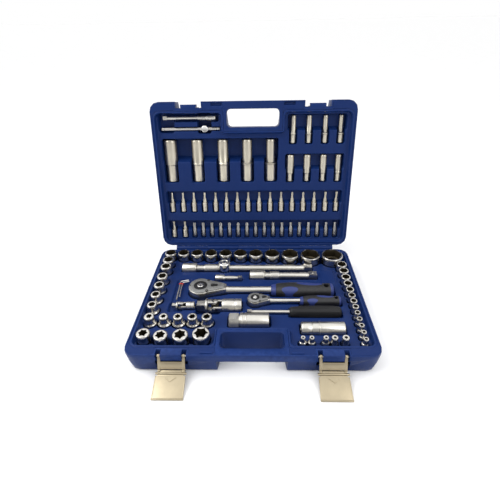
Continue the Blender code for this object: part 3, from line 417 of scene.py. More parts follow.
def polygon_section(apothem: float, sides: int, phase: float = 0.0) -> Section:
    """Regular polygon section.

    Args:
        apothem: Distance from the centre to a flat.
        sides: Number of flats.
        phase: Turn of the polygon in radians.

    Returns:
        Radius as a function of the turn.
    """
    step = 2 * pi / sides

    def radius(turn: float) -> float:
        """Radius at one turn."""
        return apothem / cos((turn - phase + step / 2) % step - step / 2)
    return radius


def star_section(apothem: float) -> Section:
    """Six pointed lobes, as in a star socket."""
    return lambda turn: apothem * (0.86 + 0.34 * (1.0 - abs(sin(3 * turn))) ** 1.3)


def pear_section(radius: float, neck: float, half_neck: float, leave: float = 0.95) -> Section:
    """Round head that runs into a narrow neck along +X.

    Args:
        radius: Radius of the head.
        neck: Distance from the centre to the end of the neck.
        half_neck: Half width of the neck.
        leave: Turn at which the outline leaves the circle.

    Returns:
        Radius as a function of the turn.
    """
    start = Vector((radius * cos(leave), radius * sin(leave)))
    end = Vector((neck, half_neck))
    corner = atan2(half_neck, neck)

    def distance(turn: float) -> float:
        """Distance to the outline.

        Args:
            turn: Turn in radians.

        Returns:
            The distance in millimetres.
        """
        a = abs((turn + pi) % (2 * pi) - pi)
        if a >= leave:
            return radius
        if a <= corner:
            return neck / cos(a)
        run = end - start
        return (start.x * run.y - start.y * run.x) / (cos(a) * run.y - sin(a) * run.x)
    return distance


def knurl_section(radius: float, depth: float, teeth: int, drift: float) -> Section:
    """Crossed knurl: two sets of helical grooves at one height.

    Args:
        radius: Outer radius.
        depth: Groove depth.
        teeth: Grooves in a full turn.
        drift: Turn of the grooves at this height, in radians.

    Returns:
        Radius as a function of the turn.
    """
    def height(turn: float) -> float:
        """Radius of the knurl.

        Args:
            turn: Turn in radians.

        Returns:
            The radius in millimetres.
        """
        first = abs(cos(teeth / 2 * (turn + drift)))
        second = abs(cos(teeth / 2 * (turn - drift)))
        return radius - depth * (1.0 - min(first, second))
    return height


@dataclass(frozen=True)
class Ring:
    """One cross-section of a loft: height, outline, and its stretch and shift."""

    height: float
    section: Section
    wide: float = 1.0
    tall: float = 1.0
    side: float = 0.0
    rise: float = 0.0


def oblong(x0: float, x1: float, y0: float, y1: float) -> Outline:
    """Corners of a rectangle, in order."""
    return [(x0, y0), (x1, y0), (x1, y1), (x0, y1)]


def spread(span: Pair, count: int) -> list[float]:
    """Evenly spaced places from one end of a span to the other."""
    pitch = (span[1] - span[0]) / (count - 1)
    return [span[0] + index * pitch for index in range(count)]


def rings(profile: Outline) -> list[Ring]:
    """Round rings from pairs of height and radius."""
    return [Ring(height, round_section(radius)) for height, radius in profile]


class Form:
    """Mesh under construction, in millimetres."""

    def __init__(self, place: Matrix = FLAT, mesh: Optional[bmesh.types.BMesh] = None) -> None:
        """Start an empty mesh, or take over a ready one.

        Args:
            place: Turn and shift that the finished mesh gets.
            mesh: Ready mesh in millimetres.
        """
        self.mesh = bmesh.new() if mesh is None else mesh
        self.place = place

    def loft(self, stack: Sequence[Ring], segments: int, place: Matrix = FLAT,
             bore: tuple[int, int] = (0, 0)) -> "Form":
        """Extrude a circle through rings and close both ends.

        Args:
            stack: Cross-sections in order.
            segments: Points round each ring.
            place: Where the loft stands; it rises along local +Z.
            bore: First and last step that take the second finish, as inside an opening.

        Returns:
            This form.
        """
        part = bmesh.new()
        turn = part.verts.layers.float.new("turn")
        start = bmesh.ops.create_circle(part, radius=1.0, segments=segments)["verts"]
        for vert in start:
            vert[turn] = atan2(vert.co.y, vert.co.x)
        edges = part.edges[:]
        first_edges = edges
        for index, ring in enumerate(stack):
            if index:
                grown = bmesh.ops.extrude_edge_only(part, edges=edges)["geom"]
                verts = [g for g in grown if isinstance(g, bmesh.types.BMVert)]
                chosen = set(verts)
                for face in (g for g in grown if isinstance(g, bmesh.types.BMFace)):
                    face.material_index = int(bore[0] <= index < bore[1])
                edges = [g for g in grown if isinstance(g, bmesh.types.BMEdge)
                         and g.verts[0] in chosen and g.verts[1] in chosen]
            else:
                verts = start
            for vert in verts:
                r = ring.section(vert[turn])
                vert.co = (r * cos(vert[turn]) * ring.wide + ring.side,
                           r * sin(vert[turn]) * ring.tall + ring.rise, ring.height)
        ends = ((first_edges, bore[0] == 1), (edges, bore[1] == len(stack)))
        for rim, inside in ends:
            cap = bmesh.ops.edgeloop_fill(part, edges=rim)["faces"]
            for face in cap:
                face.material_index = int(inside)
        return self.take(part, place)

    def take(self, part: bmesh.types.BMesh, place: Matrix = FLAT) -> "Form":
        """Turn a closed part outwards and join it to this form.

        Args:
            part: Closed mesh, which is used up.
            place: Where it goes.

        Returns:
            This form.
        """
        bmesh.ops.transform(part, matrix=place, verts=part.verts)
        bmesh.ops.recalc_face_normals(part, faces=part.faces[:])
        carrier = bpy.data.meshes.new("carrier")
        part.to_mesh(carrier)
        part.free()
        self.mesh.from_mesh(carrier)
        bpy.data.meshes.remove(carrier)
        return self

    def block(self, low: Point, high: Point, soft: float = 0.0, place: Matrix = FLAT,
              segments: int = 2) -> "Form":
        """Add a box with softened edges.

        Args:
            low: Lowest corner.
            high: Highest corner.
            soft: Width of the edge rounding.
            place: Where it goes.
            segments: Steps of the rounding.

        Returns:
            This form.
        """
        part = bmesh.new()
        bmesh.ops.create_cube(part, size=1.0)
        size = Vector(high) - Vector(low)
        bmesh.ops.scale(part, vec=size, verts=part.verts)
        bmesh.ops.translate(part, vec=(Vector(high) + Vector(low)) / 2, verts=part.verts)
        if soft > 0.0:
            bmesh.ops.bevel(part, geom=part.edges[:], offset=soft, offset_type="OFFSET",
                            segments=segments, profile=0.5, affect="EDGES", material=-1)
        return self.take(part, place)

    def slab(self, outline: Outline, low: float, high: float, soft: float = 0.0,
             place: Matrix = FLAT, segments: int = 2) -> "Form":
        """Extrude a flat outline and soften its rims.

        Args:
            outline: Corners in order.
            low: Height of the under face.
            high: Height of the upper face.
            soft: Width of the rim rounding.
            place: Where it goes.
            segments: Steps of the rounding.

        Returns:
            This form.
        """
        part = bmesh.new()
        face = part.faces.new([part.verts.new((x, y, low)) for x, y in outline])
        grown = bmesh.ops.extrude_face_region(part, geom=[face])["geom"]
        top = [g for g in grown if isinstance(g, bmesh.types.BMVert)]
        bmesh.ops.translate(part, vec=(0, 0, high - low), verts=top)
        if soft > 0.0:
            rims = [e for e in part.edges if abs(e.verts[0].co.z - e.verts[1].co.z) < 1e-6]
            bmesh.ops.bevel(part, geom=rims, offset=soft, offset_type="OFFSET",
                            segments=segments, profile=0.5, affect="EDGES", material=-1)
        return self.take(part, place)

    def rod(self, start: Point, end: Point, radius: float, segments: int = 24,
            soft: float = 0.3, place: Matrix = FLAT) -> "Form":
        """Add a round bar with softened ends.

        Args:
            start: Centre of one end.
            end: Centre of the other end.
            radius: Radius of the bar.
            segments: Points round it.
            soft: Width of the end chamfer.
            place: Where it goes.

        Returns:
            This form.
        """
        a, b = place @ Vector(start), place @ Vector(end)
        length = (b - a).length
        turn = Vector((0, 0, 1)).rotation_difference(b - a).to_matrix().to_4x4()
        edge = min(soft, radius * 0.5)
        return self.loft(rings(((0.0, radius - edge), (edge * 0.3, radius - edge * 0.3),
                                (edge, radius), (length - edge, radius),
                                (length - edge * 0.3, radius - edge * 0.3),
                                (length, radius - edge))), segments, Matrix.Translation(a) @ turn)

    def ball(self, centre: Point, radius: float) -> "Form":
        """Add a small ball.

        Args:
            centre: Its centre.
            radius: Its radius.

        Returns:
            This form.
        """
        part = bmesh.new()
        bmesh.ops.create_icosphere(part, subdivisions=2, radius=radius)
        return self.take(part, Matrix.Translation(centre))

    def piece(self, name: str, finish: Finish, body: str, slot: str,
              replaces: Sequence[str] = (), sharp: float = 38.0,
              bore: Optional[Finish] = None) -> bpy.types.Object:
        """Turn the form into a finished piece that rides on a body.

        Args:
            name: Name of the piece.
            finish: Its material.
            body: CAD body that carries it.
            slot: Not used.
            replaces: CAD nodes that it stands for.
            sharp: Angle in degrees above which an edge stays crisp.
            bore: Second finish, for the inside of openings.

        Returns:
            The new object.
        """
        bmesh.ops.transform(self.mesh, matrix=Matrix.Scale(MM, 4) @ self.place,
                            verts=self.mesh.verts)
        data = bpy.data.meshes.new(name)
        self.mesh.to_mesh(data)
        self.mesh.free()
        data.materials.append(finish)
        if bore is not None:
            data.materials.append(bore)
        data.shade_smooth()
        data.set_sharp_from_angle(angle=radians(sharp))
        obj = bpy.data.objects.new(name, data)
        bpy.context.scene.collection.objects.link(obj)
        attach(obj, body)
        if replaces:
            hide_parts(*replaces)
        LOG.info("%s: %d faces on %s", name, len(data.polygons), body)
        return obj


def carve(obj: bpy.types.Object, tool: Form) -> None:
    """Cut a closed tool shape out of a finished piece, and keep the result as its mesh.

    Args:
        obj: Piece to cut.
        tool: Closed shape in millimetres.
    """
    bmesh.ops.transform(tool.mesh, matrix=Matrix.Scale(MM, 4) @ tool.place, verts=tool.mesh.verts)
    data = bpy.data.meshes.new("tool")
    tool.mesh.to_mesh(data)
    tool.mesh.free()
    cutter = bpy.data.objects.new("tool", data)
    bpy.context.scene.collection.objects.link(cutter)
    cut = obj.modifiers.new("carve", "BOOLEAN")
    cut.operation = "DIFFERENCE"
    cut.solver = "EXACT"
    cut.use_self = True
    cut.object = cutter
    graph = bpy.context.evaluated_depsgraph_get()
    mesh = bpy.data.meshes.new_from_object(obj.evaluated_get(graph))
    obj.modifiers.clear()
    obj.data = mesh
    obj.data.set_sharp_from_angle(angle=radians(38.0))
    bpy.data.objects.remove(cutter, do_unlink=True)


# ---------------------------------------------------------------- sockets
class Mouth(Enum):
    """Shape of a socket's opening."""

    SIX_POINT = "six_point"
    STAR = "star"

    def section(self, size: float) -> Section:
        """Section of this opening for a wrench size.

        Args:
            size: Width across the flats in millimetres.

        Returns:
            Radius as a function of the turn.
        """
        if self is Mouth.SIX_POINT:
            return polygon_section(size / 2, 6)
        return star_section(size / 2)

    def reach(self, size: float) -> float:
        """Radius of the circle round the opening."""
        return size / 2 * 1.15 if self is Mouth.STAR else size / 2 / cos(pi / 6)


class Tip(Enum):
    """Shape of a bit's working end."""

    SLOT = "slot"
    CROSS = "cross"
    STAR = "star"
    HEX = "hex"


@dataclass(frozen=True)
class Socket:
    """One standing socket: wrench size, outer diameters and place."""

    size: float
    mouth: float
    drive: float
    x: float
    y: float


@dataclass
class SocketRow:
    """Row of standing sockets that are lifted out together."""

    name: str
    node: str
    body: str
    foot: float
    height: float
    opening: Mouth
    sockets: Sequence[Socket]
    lip: float
    room: float
    segments: int = 48

    def stack(self, socket: Socket) -> list[Ring]:
        """Rings of one socket, from its foot up the outside and down the opening.

        Args:
            socket: The socket.

        Returns:
            Cross-sections in order.
        """
        h, narrow = self.height, socket.mouth / 2
        wide = max(socket.drive / 2, narrow)
        shoulder, k = h * 0.635, h / 38.0
        hole = self.opening.section(socket.size)
        inner = min(self.opening.reach(socket.size) + 0.35, narrow - self.lip - 0.25)
        flare = wide - narrow
        shank = [(shoulder + rise * k, wide - part * flare)
                 for rise, part in ((1.1, 0.55), (2.4, 0.80), (4.6, 0.94))]
        outside = [(0.0, wide - 1.0), (0.35, wide - 0.3), (1.1, wide), (shoulder - 1.2, wide),
                   (shoulder - 0.5, wide - 0.04 * flare), (shoulder, wide - 0.18 * flare), *shank,
                   (shoulder + 7.6 * k, narrow), (h - self.lip - 0.2, narrow),
                   (h - 0.3, narrow - self.lip * 0.6), (h, narrow - self.lip), (h, inner + 0.1)]
        inside = [Ring(h - 0.1, hole, 1.02, 1.02), Ring(h - 0.9, hole), Ring(h - h * 0.4, hole),
                  Ring(h - h * 0.44, round_section(socket.size / 2 * 0.84)),
                  Ring(h - h * 0.62, round_section(socket.size / 2 * 0.8))]
        return rings(outside) + inside

    def build(self, finish: Finish, bore: Finish) -> None:
        """Make every socket of the row.

        Args:
            finish: Plating of the sockets.
            bore: Finish inside the openings.
        """
        for index, socket in enumerate(self.sockets):
            turn = Matrix.Rotation(index * 0.37, 4, "Z")
            place = Matrix.Translation((socket.x, socket.y, self.foot)) @ turn
            stack = self.stack(socket)
            form = Form().loft(stack, self.segments, place, (len(stack) - 4, len(stack)))
            form.piece("%s_%02d" % (self.name, index + 1), finish, self.body, "tool_chrome",
                       [self.node] if index == 0 else [], bore=bore)


@dataclass
class StandingSockets:
    """All standing sockets of the base."""

    half_foot: float = 8.0
    half_height: float = 38.0
    quarter_foot: float = 19.0
    quarter_height: float = 25.0
    half_drive: float = 21.4
    quarter_drive: float = 12.0
    back: Outline = ((16, 22.0), (17, 23.0), (18, 24.0), (19, 25.0), (20, 25.6), (21, 26.5),
                     (22, 27.6), (24, 30.0), (27, 33.5), (30, 38.0), (32, 41.0))
    back_start: float = -167.4
    back_gap: float = 3.7
    back_rear: float = 127.5
    left: Sequence[Point] = ((15, 21.4, 92.0), (14, 20.5, 70.0), (13, 19.5, 39.5),
                             (12, 18.4, 14.0), (11, 17.0, -12.0), (10, 15.8, -38.0))
    left_x: float = -167.0
    star_upper: Outline = ((8.8, 16.4), (7.6, 14.8), (8.6, 15.4), (9.2, 16.0), (9.8, 16.6))
    star_pitch: float = 23.0
    star_start: float = -164.5
    star_y: float = -66.0
    star_lower: Sequence[tuple[float, float, float, float]] = (
        (12.6, 21.0, -164.5, -102.0), (13.4, 21.6, -137.5, -105.5),
        (16.0, 24.0, -108.0, -104.5), (18.6, 26.4, -77.0, -101.5))
    right: Outline = ((14, 18.8), (13, 17.8), (12, 16.7), (11, 15.6), (10, 14.0), (9, 12.6),
                      (8, 12.0), (7, 10.9), (6, 9.7), (5.5, 9.0), (5, 8.6), (4.5, 8.2), (4, 7.8))
    right_x: float = 167.5
    right_start: float = 78.6
    right_gap: float = 2.05
    small_star: Sequence[Point] = ((2.9, 7.2, 75.5), (3.3, 7.6, 88.5), (3.8, 8.4, 109.5),
                                   (4.5, 9.6, 122.5), (5.2, 10.6, 138.7))
    small_star_y: float = -107.5

    def back_row(self) -> list[Socket]:
        """Line the sockets up along the hinge, by their rear sides.

        Returns:
            The sockets in order.
        """
        made, x = [], self.back_start - self.back[0][1] / 2
        for size, mouth in self.back:
            x += mouth / 2
            made.append(Socket(size, mouth, mouth, x, self.back_rear - mouth / 2))
            x += mouth / 2 + self.back_gap
        return made

    def right_column(self) -> list[Socket]:
        """Line the quarter-inch sockets up down the right side, largest at the back.

        Returns:
            The sockets in order.
        """
        made, y, before = [], self.right_start, 0.0
        for index, (size, mouth) in enumerate(self.right):
            wide = max(mouth, self.quarter_drive)
            if index:
                y -= (wide + before) / 2 + self.right_gap
            before = wide
            made.append(Socket(size, mouth, wide, self.right_x, y))
        return made

    def place_row(self, row: Sequence[Sequence[float]], drive: float, y: float) -> list[Socket]:
        """Sockets of a row that states size, mouth and x, with y last where it varies.

        Args:
            row: Size, mouth, x and perhaps y of each socket.
            drive: Smallest diameter of the drive end.
            y: Place across the case where the row gives none.

        Returns:
            The sockets in order.
        """
        return [Socket(size, mouth, max(mouth, drive), x, *(rest or (y,)))
                for size, mouth, x, *rest in row]

    def rows(self) -> list[SocketRow]:
        """State every row with its sockets in place.

        Returns:
            The rows in order.
        """
        half, quarter = (self.half_foot, self.half_height), (self.quarter_foot, self.quarter_height)
        left = [(size, mouth, self.left_x, y) for size, mouth, y in self.left]
        upper = [(size, mouth, self.star_start + index * self.star_pitch)
                 for index, (size, mouth) in enumerate(self.star_upper)]
        plans = (
            ("back_socket", "half_socket_back_row", "back_row", half, Mouth.SIX_POINT,
             self.back_row(), 1.1, 1.5),
            ("left_socket", "half_socket_left_column", "left_column", half, Mouth.SIX_POINT,
             self.place_row(left, self.half_drive, 0.0), 1.0, 1.6),
            ("star_socket", "star_socket_upper_row", "star_upper", half, Mouth.STAR,
             self.place_row(upper, self.half_drive, self.star_y), 1.0, 1.5),
            ("big_star_socket", "star_socket_lower_row", "star_lower", half, Mouth.STAR,
             self.place_row(self.star_lower, self.half_drive, 0.0), 1.2, 1.6),
            ("right_socket", "quarter_socket_column", "right_column", quarter, Mouth.SIX_POINT,
             self.right_column(), 0.6, 1.3),
            ("small_star_socket", "small_star_socket_row", "small_star", quarter, Mouth.STAR,
             self.place_row(self.small_star, self.quarter_drive, self.small_star_y), 0.6, 1.5),
        )
        return [SocketRow(name, node, body, *size, opening, sockets, lip, room)
                for name, node, body, size, opening, sockets, lip, room in plans]

    def build(self, finish: Finish, bore: Finish) -> None:
        """Make all rows.

        Args:
            finish: Plating of the sockets.
            bore: Finish inside the openings.
        """
        for row in self.rows():
            row.build(finish, bore)


@dataclass
class DeepSockets:
    """Deep sockets that lie in the lid, openings towards the handle."""

    half: Sequence[Point] = ((17, 23.4, -159.5), (15, 20.8, -108.0), (14, 19.6, -58.7),
                             (13, 18.0, -12.0), (12, 16.6, 33.2))
    half_span: Pair = (136.5, 214.5)
    half_drive: float = 22.4
    half_z: float = -21.0
    upper: Sequence[Point] = ((7, 9.4, 74.4), (6, 8.8, 103.8), (5, 8.2, 133.8), (4, 7.4, 162.5))
    lower: Sequence[Point] = ((11, 13.6, 70.8), (10, 12.8, 103.2), (9, 11.8, 134.2),
                              (8, 10.6, 162.8))
    upper_span: Pair = (207.5, 256.5)
    lower_span: Pair = (135.5, 185.5)
    quarter_drive: float = 12.0
    quarter_z: float = -16.5

    def form(self, size: float, mouth: float, drive: float, span: Pair, x: float,
             z: float, waist: float, square: float) -> Form:
        """Shape of one deep socket.

        Args:
            size: Width across the flats of its opening.
            mouth: Diameter of the opening end.
            drive: Diameter of the drive end.
            span: Distances of both ends from the hinge.
            x: Place along the hinge.
            z: Height of its axis out of the lid.
            waist: Part of the length that the slim drive end takes.
            square: Side of the drive square.

        Returns:
            The form.
        """
        length = span[1] - span[0]
        neck = length * waist
        slim, wide = drive / 2 - 0.5, mouth / 2 + 0.35
        ring = max(drive / 2 + 0.4, wide + 0.1)
        hole = Mouth.SIX_POINT.section(size)
        reach = min(Mouth.SIX_POINT.reach(size) + 0.25, wide - 0.8)
        drive_hole = polygon_section(square / 2, 4)
        stack = [Ring(9.0, drive_hole), Ring(0.5, drive_hole),
                 Ring(0.0, round_section(slim * 0.78))]
        stack += rings(((0.0, slim - 0.8), (0.3, slim - 0.25), (1.0, slim), (neck - 0.4, slim),
                        (neck + 0.4, ring - 0.25), (neck + 1.0, ring), (neck + 2.4, ring),
                        (neck + 3.4, (ring + wide) / 2), (neck + 4.6, wide), (length - 6.0, wide),
                        (length - 5.8, wide - 0.25), (length - 5.0, wide - 0.25),
                        (length - 4.8, wide), (length - 0.9, wide), (length - 0.2, wide - 0.5),
                        (length, wide - 0.8), (length, reach)))
        stack += [Ring(length - 1.0, hole), Ring(length - 14.0, hole),
                  Ring(length - 15.0, round_section(size * 0.42))]
        place = Matrix.Translation((x, span[0], z)) @ ALONG_Y
        return Form(LID).loft(stack, 48, place, (len(stack) - 2, len(stack)))

    def build(self, finish: Finish, bore: Finish) -> None:
        """Make the deep sockets of both drives.

        Args:
            finish: Plating of the sockets.
            bore: Finish inside the openings.
        """
        for size, mouth, x in self.half:
            form = self.form(size, mouth, self.half_drive, self.half_span, x, self.half_z, 0.4,
                             HALF_SQUARE)
            form.piece("long_socket_%d" % size, finish, "deep_%d" % size, "tool_chrome",
                       ["deep_half_socket_%d" % size], bore=bore)
        for row, span, name in ((self.upper, self.upper_span, "upper"),
                                (self.lower, self.lower_span, "lower")):
            for index, (size, mouth, x) in enumerate(row):
                form = self.form(size, mouth, self.quarter_drive, span, x, self.quarter_z, 0.3,
                                 QUARTER_SQUARE)
                form.piece("long_%s_socket_%d" % (name, size), finish, "deep_quarter_" + name,
                           "tool_chrome", ["deep_quarter_%s_row" % name] if index == 0 else [],
                           bore=bore)


@dataclass
class ScrewBits:
    """Bit sockets and loose bits in the two lowest rows of the lid."""

    z: float = -14.5
    socket_count: int = 16
    socket_x: Pair = (-164.4, 164.2)
    socket_s: Point = (75.5, 93.5, 113.5)
    low_socket_x: Pair = (-166.0, -143.1)
    low_socket_s: Point = (20.7, 37.0, 53.0)
    bit_count: int = 17
    bit_x: Pair = (-123.3, 166.0)
    bit_s: Pair = (20.7, 50.5)
    socket_radius: float = 5.4
    shank: float = 3.1
    bit_half: float = 3.8

    def tip(self, kind: Tip, start: float, end: float, half: float) -> list[Ring]:
        """Rings of a bit from its shank to its working end.

        Args:
            kind: Shape of the working end.
            start: Distance at which the shank ends.
            end: Distance of the tip.
            half: Half width of the shank.

        Returns:
            Cross-sections in order.
        """
        run = end - start
        neck = [Ring(start + run * 0.12, round_section(half * 0.84)),
                Ring(start + run * 0.30, round_section(half * 0.80))]
        if kind is Tip.SLOT:
            flat = polygon_section(half * 0.74, 4)
            return neck + [Ring(start + run * 0.42, round_section(half * 0.74)),
                           Ring(end - 1.0, flat, 1.0, 0.30), Ring(end, flat, 0.96, 0.20)]
        if kind is Tip.CROSS:
            def cross(turn: float) -> float:
                """Four wings."""
                return half * (0.34 + 0.50 * abs(cos(2 * turn)) ** 3)
            return neck + [Ring(start + run * 0.5, round_section(half * 0.72)),
                           Ring(start + run * 0.62, cross, 0.95, 0.95),
                           Ring(end - 1.4, cross, 0.7, 0.7), Ring(end, cross, 0.2, 0.2)]
        section = star_section(half * 0.58) if kind is Tip.STAR else polygon_section(half * 0.6, 6)
        return neck + [Ring(start + run * 0.44, round_section(half * 0.74)),
                       Ring(start + run * 0.5, section), Ring(end - 0.5, section),
                       Ring(end, section, 0.86, 0.86)]

    def bit_socket(self, x: float, span: Point, kind: Tip) -> Form:
        """Short socket with a bit fixed in its end.

        Args:
            x: Place along the hinge.
            span: Distances of its foot, shoulder and tip from the hinge.
            kind: Shape of the bit.

        Returns:
            The form.
        """
        start, shoulder, tip = span
        h, r = shoulder - start, self.socket_radius
        band = h * 0.42
        stack = rings(((0.0, r - 0.7), (0.6, r), (band, r), (band + 0.3, r - 0.35),
                       (band + 1.3, r - 0.35), (band + 1.6, r), (h - 1.0, r), (h - 0.3, r - 0.6),
                       (h, r - 1.1), (h, self.shank + 0.5)))
        stack += [Ring(h + 0.05, polygon_section(self.shank * 0.92, 6)),
                  Ring(h + (tip - shoulder) * 0.34, polygon_section(self.shank * 0.92, 6))]
        stack += self.tip(kind, h + (tip - shoulder) * 0.34, tip - start, self.shank * 0.9)
        return Form(LID).loft(stack, 24, Matrix.Translation((x, start, self.z)) @ ALONG_Y)

    def loose_bit(self, x: float, kind: Tip) -> Form:
        """Loose hexagonal bit.

        Args:
            x: Place along the hinge.
            kind: Shape of the bit.

        Returns:
            The form.
        """
        length = self.bit_s[1] - self.bit_s[0]
        shank = polygon_section(self.bit_half, 6)
        stack = [Ring(0.0, shank, 0.84, 0.84), Ring(0.8, shank), Ring(6.2, shank),
                 Ring(6.6, shank, 0.9, 0.9), Ring(7.6, shank, 0.9, 0.9), Ring(8.0, shank),
                 Ring(length * 0.54, shank)]
        stack += self.tip(kind, length * 0.54, length, self.bit_half)
        return Form(LID).loft(stack, 24, Matrix.Translation((x, self.bit_s[0], self.z)) @ ALONG_Y)

    def build(self, socket_finish: Finish, bit_finish: Finish) -> None:
        """Make both rows.

        Args:
            socket_finish: Plating of the bit sockets.
            bit_finish: Finish of the loose bits.
        """
        kinds = (Tip.HEX,) * 4 + (Tip.STAR,) * 7 + (Tip.CROSS,) * 3 + (Tip.SLOT,) * 2
        for index, x in enumerate(spread(self.socket_x, self.socket_count)):
            form = self.bit_socket(x, self.socket_s, kinds[index])
            form.piece("bit_socket_%02d" % (index + 1), socket_finish, "bit_sockets", "tool_chrome",
                       ["bit_socket_row"] if index == 0 else [])
        for index, x in enumerate(self.low_socket_x):
            form = self.bit_socket(x, self.low_socket_s, Tip.SLOT)
            form.piece("low_bit_socket_%d" % (index + 1), socket_finish, "bits", "tool_chrome",
                       ["bit_row"] if index == 0 else [])
        kinds = (Tip.SLOT,) * 3 + (Tip.CROSS,) * 4 + (Tip.STAR,) * 6 + (Tip.HEX,) * 4
        for index, x in enumerate(spread(self.bit_x, self.bit_count)):
            form = self.loose_bit(x, kinds[index])
            form.piece("loose_bit_%02d" % (index + 1), bit_finish, "bits", "tool_chrome")


# ---------------------------------------------------------------- bars and joints
@dataclass
class ExtensionBar:
    """Extension bar with a female end, a knurled grip band and a male square."""

    name: str
    node: str
    body: str
    start: Point
    length: float
    square: float
    head_radius: float
    shaft_radius: float
    knurl_radius: float
    knurl: tuple[float, float]
    place: Matrix = FLAT
    backwards: bool = False
    teeth: int = 24
    segments: int = 96

    def stack(self) -> list[Ring]:
        """Follow the bar from the floor of its drive hole, over the head, to the square.

        Returns:
            Cross-sections in order.
        """
        big, slim, ring = self.head_radius, self.shaft_radius, self.knurl_radius
        head, male = big * 2.6, self.square * 1.25
        hole = polygon_section(self.square / 2 + 0.1, 4)
        stack = [Ring(male, hole), Ring(0.6, hole), Ring(0.0, round_section(self.square * 0.66))]
        stack += rings(((0.0, big - 1.1), (0.3, big - 0.5), (1.2, big), (head - 2.4, big),
                        (head - 2.2, big - 0.35), (head - 1.2, big - 0.35), (head - 1.0, big),
                        (head, big - 0.4), (head + 2.2, slim + 0.4), (head + 3.4, slim),
                        (self.knurl[0] - 0.2, slim), (self.knurl[0] + 0.5, ring - 0.35)))
        z = self.knurl[0] + 0.8
        while z < self.knurl[1] - 0.7:
            stack.append(Ring(z, knurl_section(ring, 0.045 * ring, self.teeth,
                                               (z - self.knurl[0]) / ring * 0.62)))
            z += ring * 0.085
        neck = self.length - male
        stack += rings(((self.knurl[1] - 0.4, ring - 0.35), (self.knurl[1] + 0.2, slim),
                        (neck - 4.0, slim), (neck - 2.6, slim - 0.3),
                        (neck - 1.0, self.square * 0.5)))
        shank = polygon_section(self.square / 2, 4)
        tail = self.length
        stack += [Ring(neck, round_section(self.square * 0.5)), Ring(neck + 0.4, shank, 0.97, 0.97),
                  Ring(tail - 0.9, shank, 0.97, 0.97), Ring(tail - 0.2, shank, 0.92, 0.92),
                  Ring(tail, shank, 0.84, 0.84)]
        return stack

    def build(self, finish: Finish, bore: Finish) -> None:
        """Make the bar.

        Args:
            finish: Plating of the bar.
            bore: Finish inside the drive hole.
        """
        turn = Matrix.Rotation(pi, 4, "Z") if self.backwards else FLAT
        place = Matrix.Translation(self.start) @ turn @ ALONG_X
        form = Form(self.place).loft(self.stack(), self.segments, place, (1, 2))
        ball = place @ Vector((0.0, self.square * 0.44, self.length - self.square * 0.6))
        form.ball(tuple(ball), self.square * 0.14)
        form.piece(self.name, finish, self.body, "tool_chrome", [self.node], 30.0, bore)


@dataclass
class TeeParts:
    """Upright T-adapter on the long bar, and the sliding T-bar in the lid."""

    adapter_at: Pair = (-56.6, 82.0)
    adapter_foot: float = 12.0
    adapter_radius: float = 11.3
    adapter_height: float = 34.0
    bar_z: float = 31.0
    bar_radius: float = 7.2
    tee_start: float = -171.8
    tee_length: float = 109.2
    tee_s: float = 234.5
    tee_z: float = -14.0
    tee_radius: float = 3.2
    slider_x: float = -90.3
    slider_radius: float = 6.6

    def build(self, finish: Finish, bright: Finish) -> None:
        """Make the adapter, the T-bar and its slider.

        Args:
            finish: Plating of the slim parts.
            bright: Polished plating of the adapter.
        """
        x, y = self.adapter_at
        r, h = self.adapter_radius, self.adapter_height
        stack = rings(((0.0, r - 1.7), (0.5, r - 0.8), (1.5, r), (h - 2.2, r), (h - 1.0, r - 0.5),
                       (h - 0.2, r - 1.6), (h, r - 2.4), (h - 0.1, r - 3.4), (h - 0.9, r - 3.8),
                       (h - 0.9, r - 4.6), (h - 0.3, r - 5.4), (h + 0.1, r - 7.6), (h + 0.2, 0.4)))
        form = Form().loft(stack, 64, Matrix.Translation((x, y, self.adapter_foot)))
        adapter = form.piece("upright_adapter", bright, "adapter", "tool_chrome", ["t_adapter"])
        carve(adapter, Form().rod((x - 20, y, self.bar_z), (x + 20, y, self.bar_z),
                                  self.bar_radius, 48))
        r, n = self.tee_radius, self.tee_length
        place = Matrix.Translation((self.tee_start, self.tee_s, self.tee_z)) @ ALONG_X
        stack = rings(((0.0, r - 0.9), (0.3, r - 0.3), (1.2, r), (5.0, r), (5.3, r - 0.45),
                       (6.3, r - 0.45), (6.6, r), (n - 6.6, r), (n - 6.3, r - 0.45),
                       (n - 5.3, r - 0.45), (n - 5.0, r), (n - 1.2, r), (n - 0.3, r - 0.3),
                       (n, r - 0.9)))
        Form(LID).loft(stack, 32, place).piece("sliding_bar", finish, "t_bar", "tool_chrome",
                                               ["t_bar"])
        r = self.slider_radius
        place = Matrix.Translation((self.slider_x, self.tee_s, -22.6))
        square = polygon_section(3.1, 4)
        stack = [Ring(-7.8, square, 0.9, 0.9), Ring(-7.2, square), Ring(-0.2, square)]
        stack += rings(((0.0, r - 1.0), (0.8, r), (12.6, r), (13.6, r - 0.6), (14.0, r - 1.4),
                        (13.6, r - 2.4), (13.6, 0.4)))
        slider = Form(LID).loft(stack, 48, place).piece("sliding_head", bright, "t_slider",
                                                        "tool_chrome", ["t_slider"])
        carve(slider, Form(LID).rod((self.slider_x - 9, self.tee_s, self.tee_z),
                                    (self.slider_x + 9, self.tee_s, self.tee_z), r * 0.53, 32))


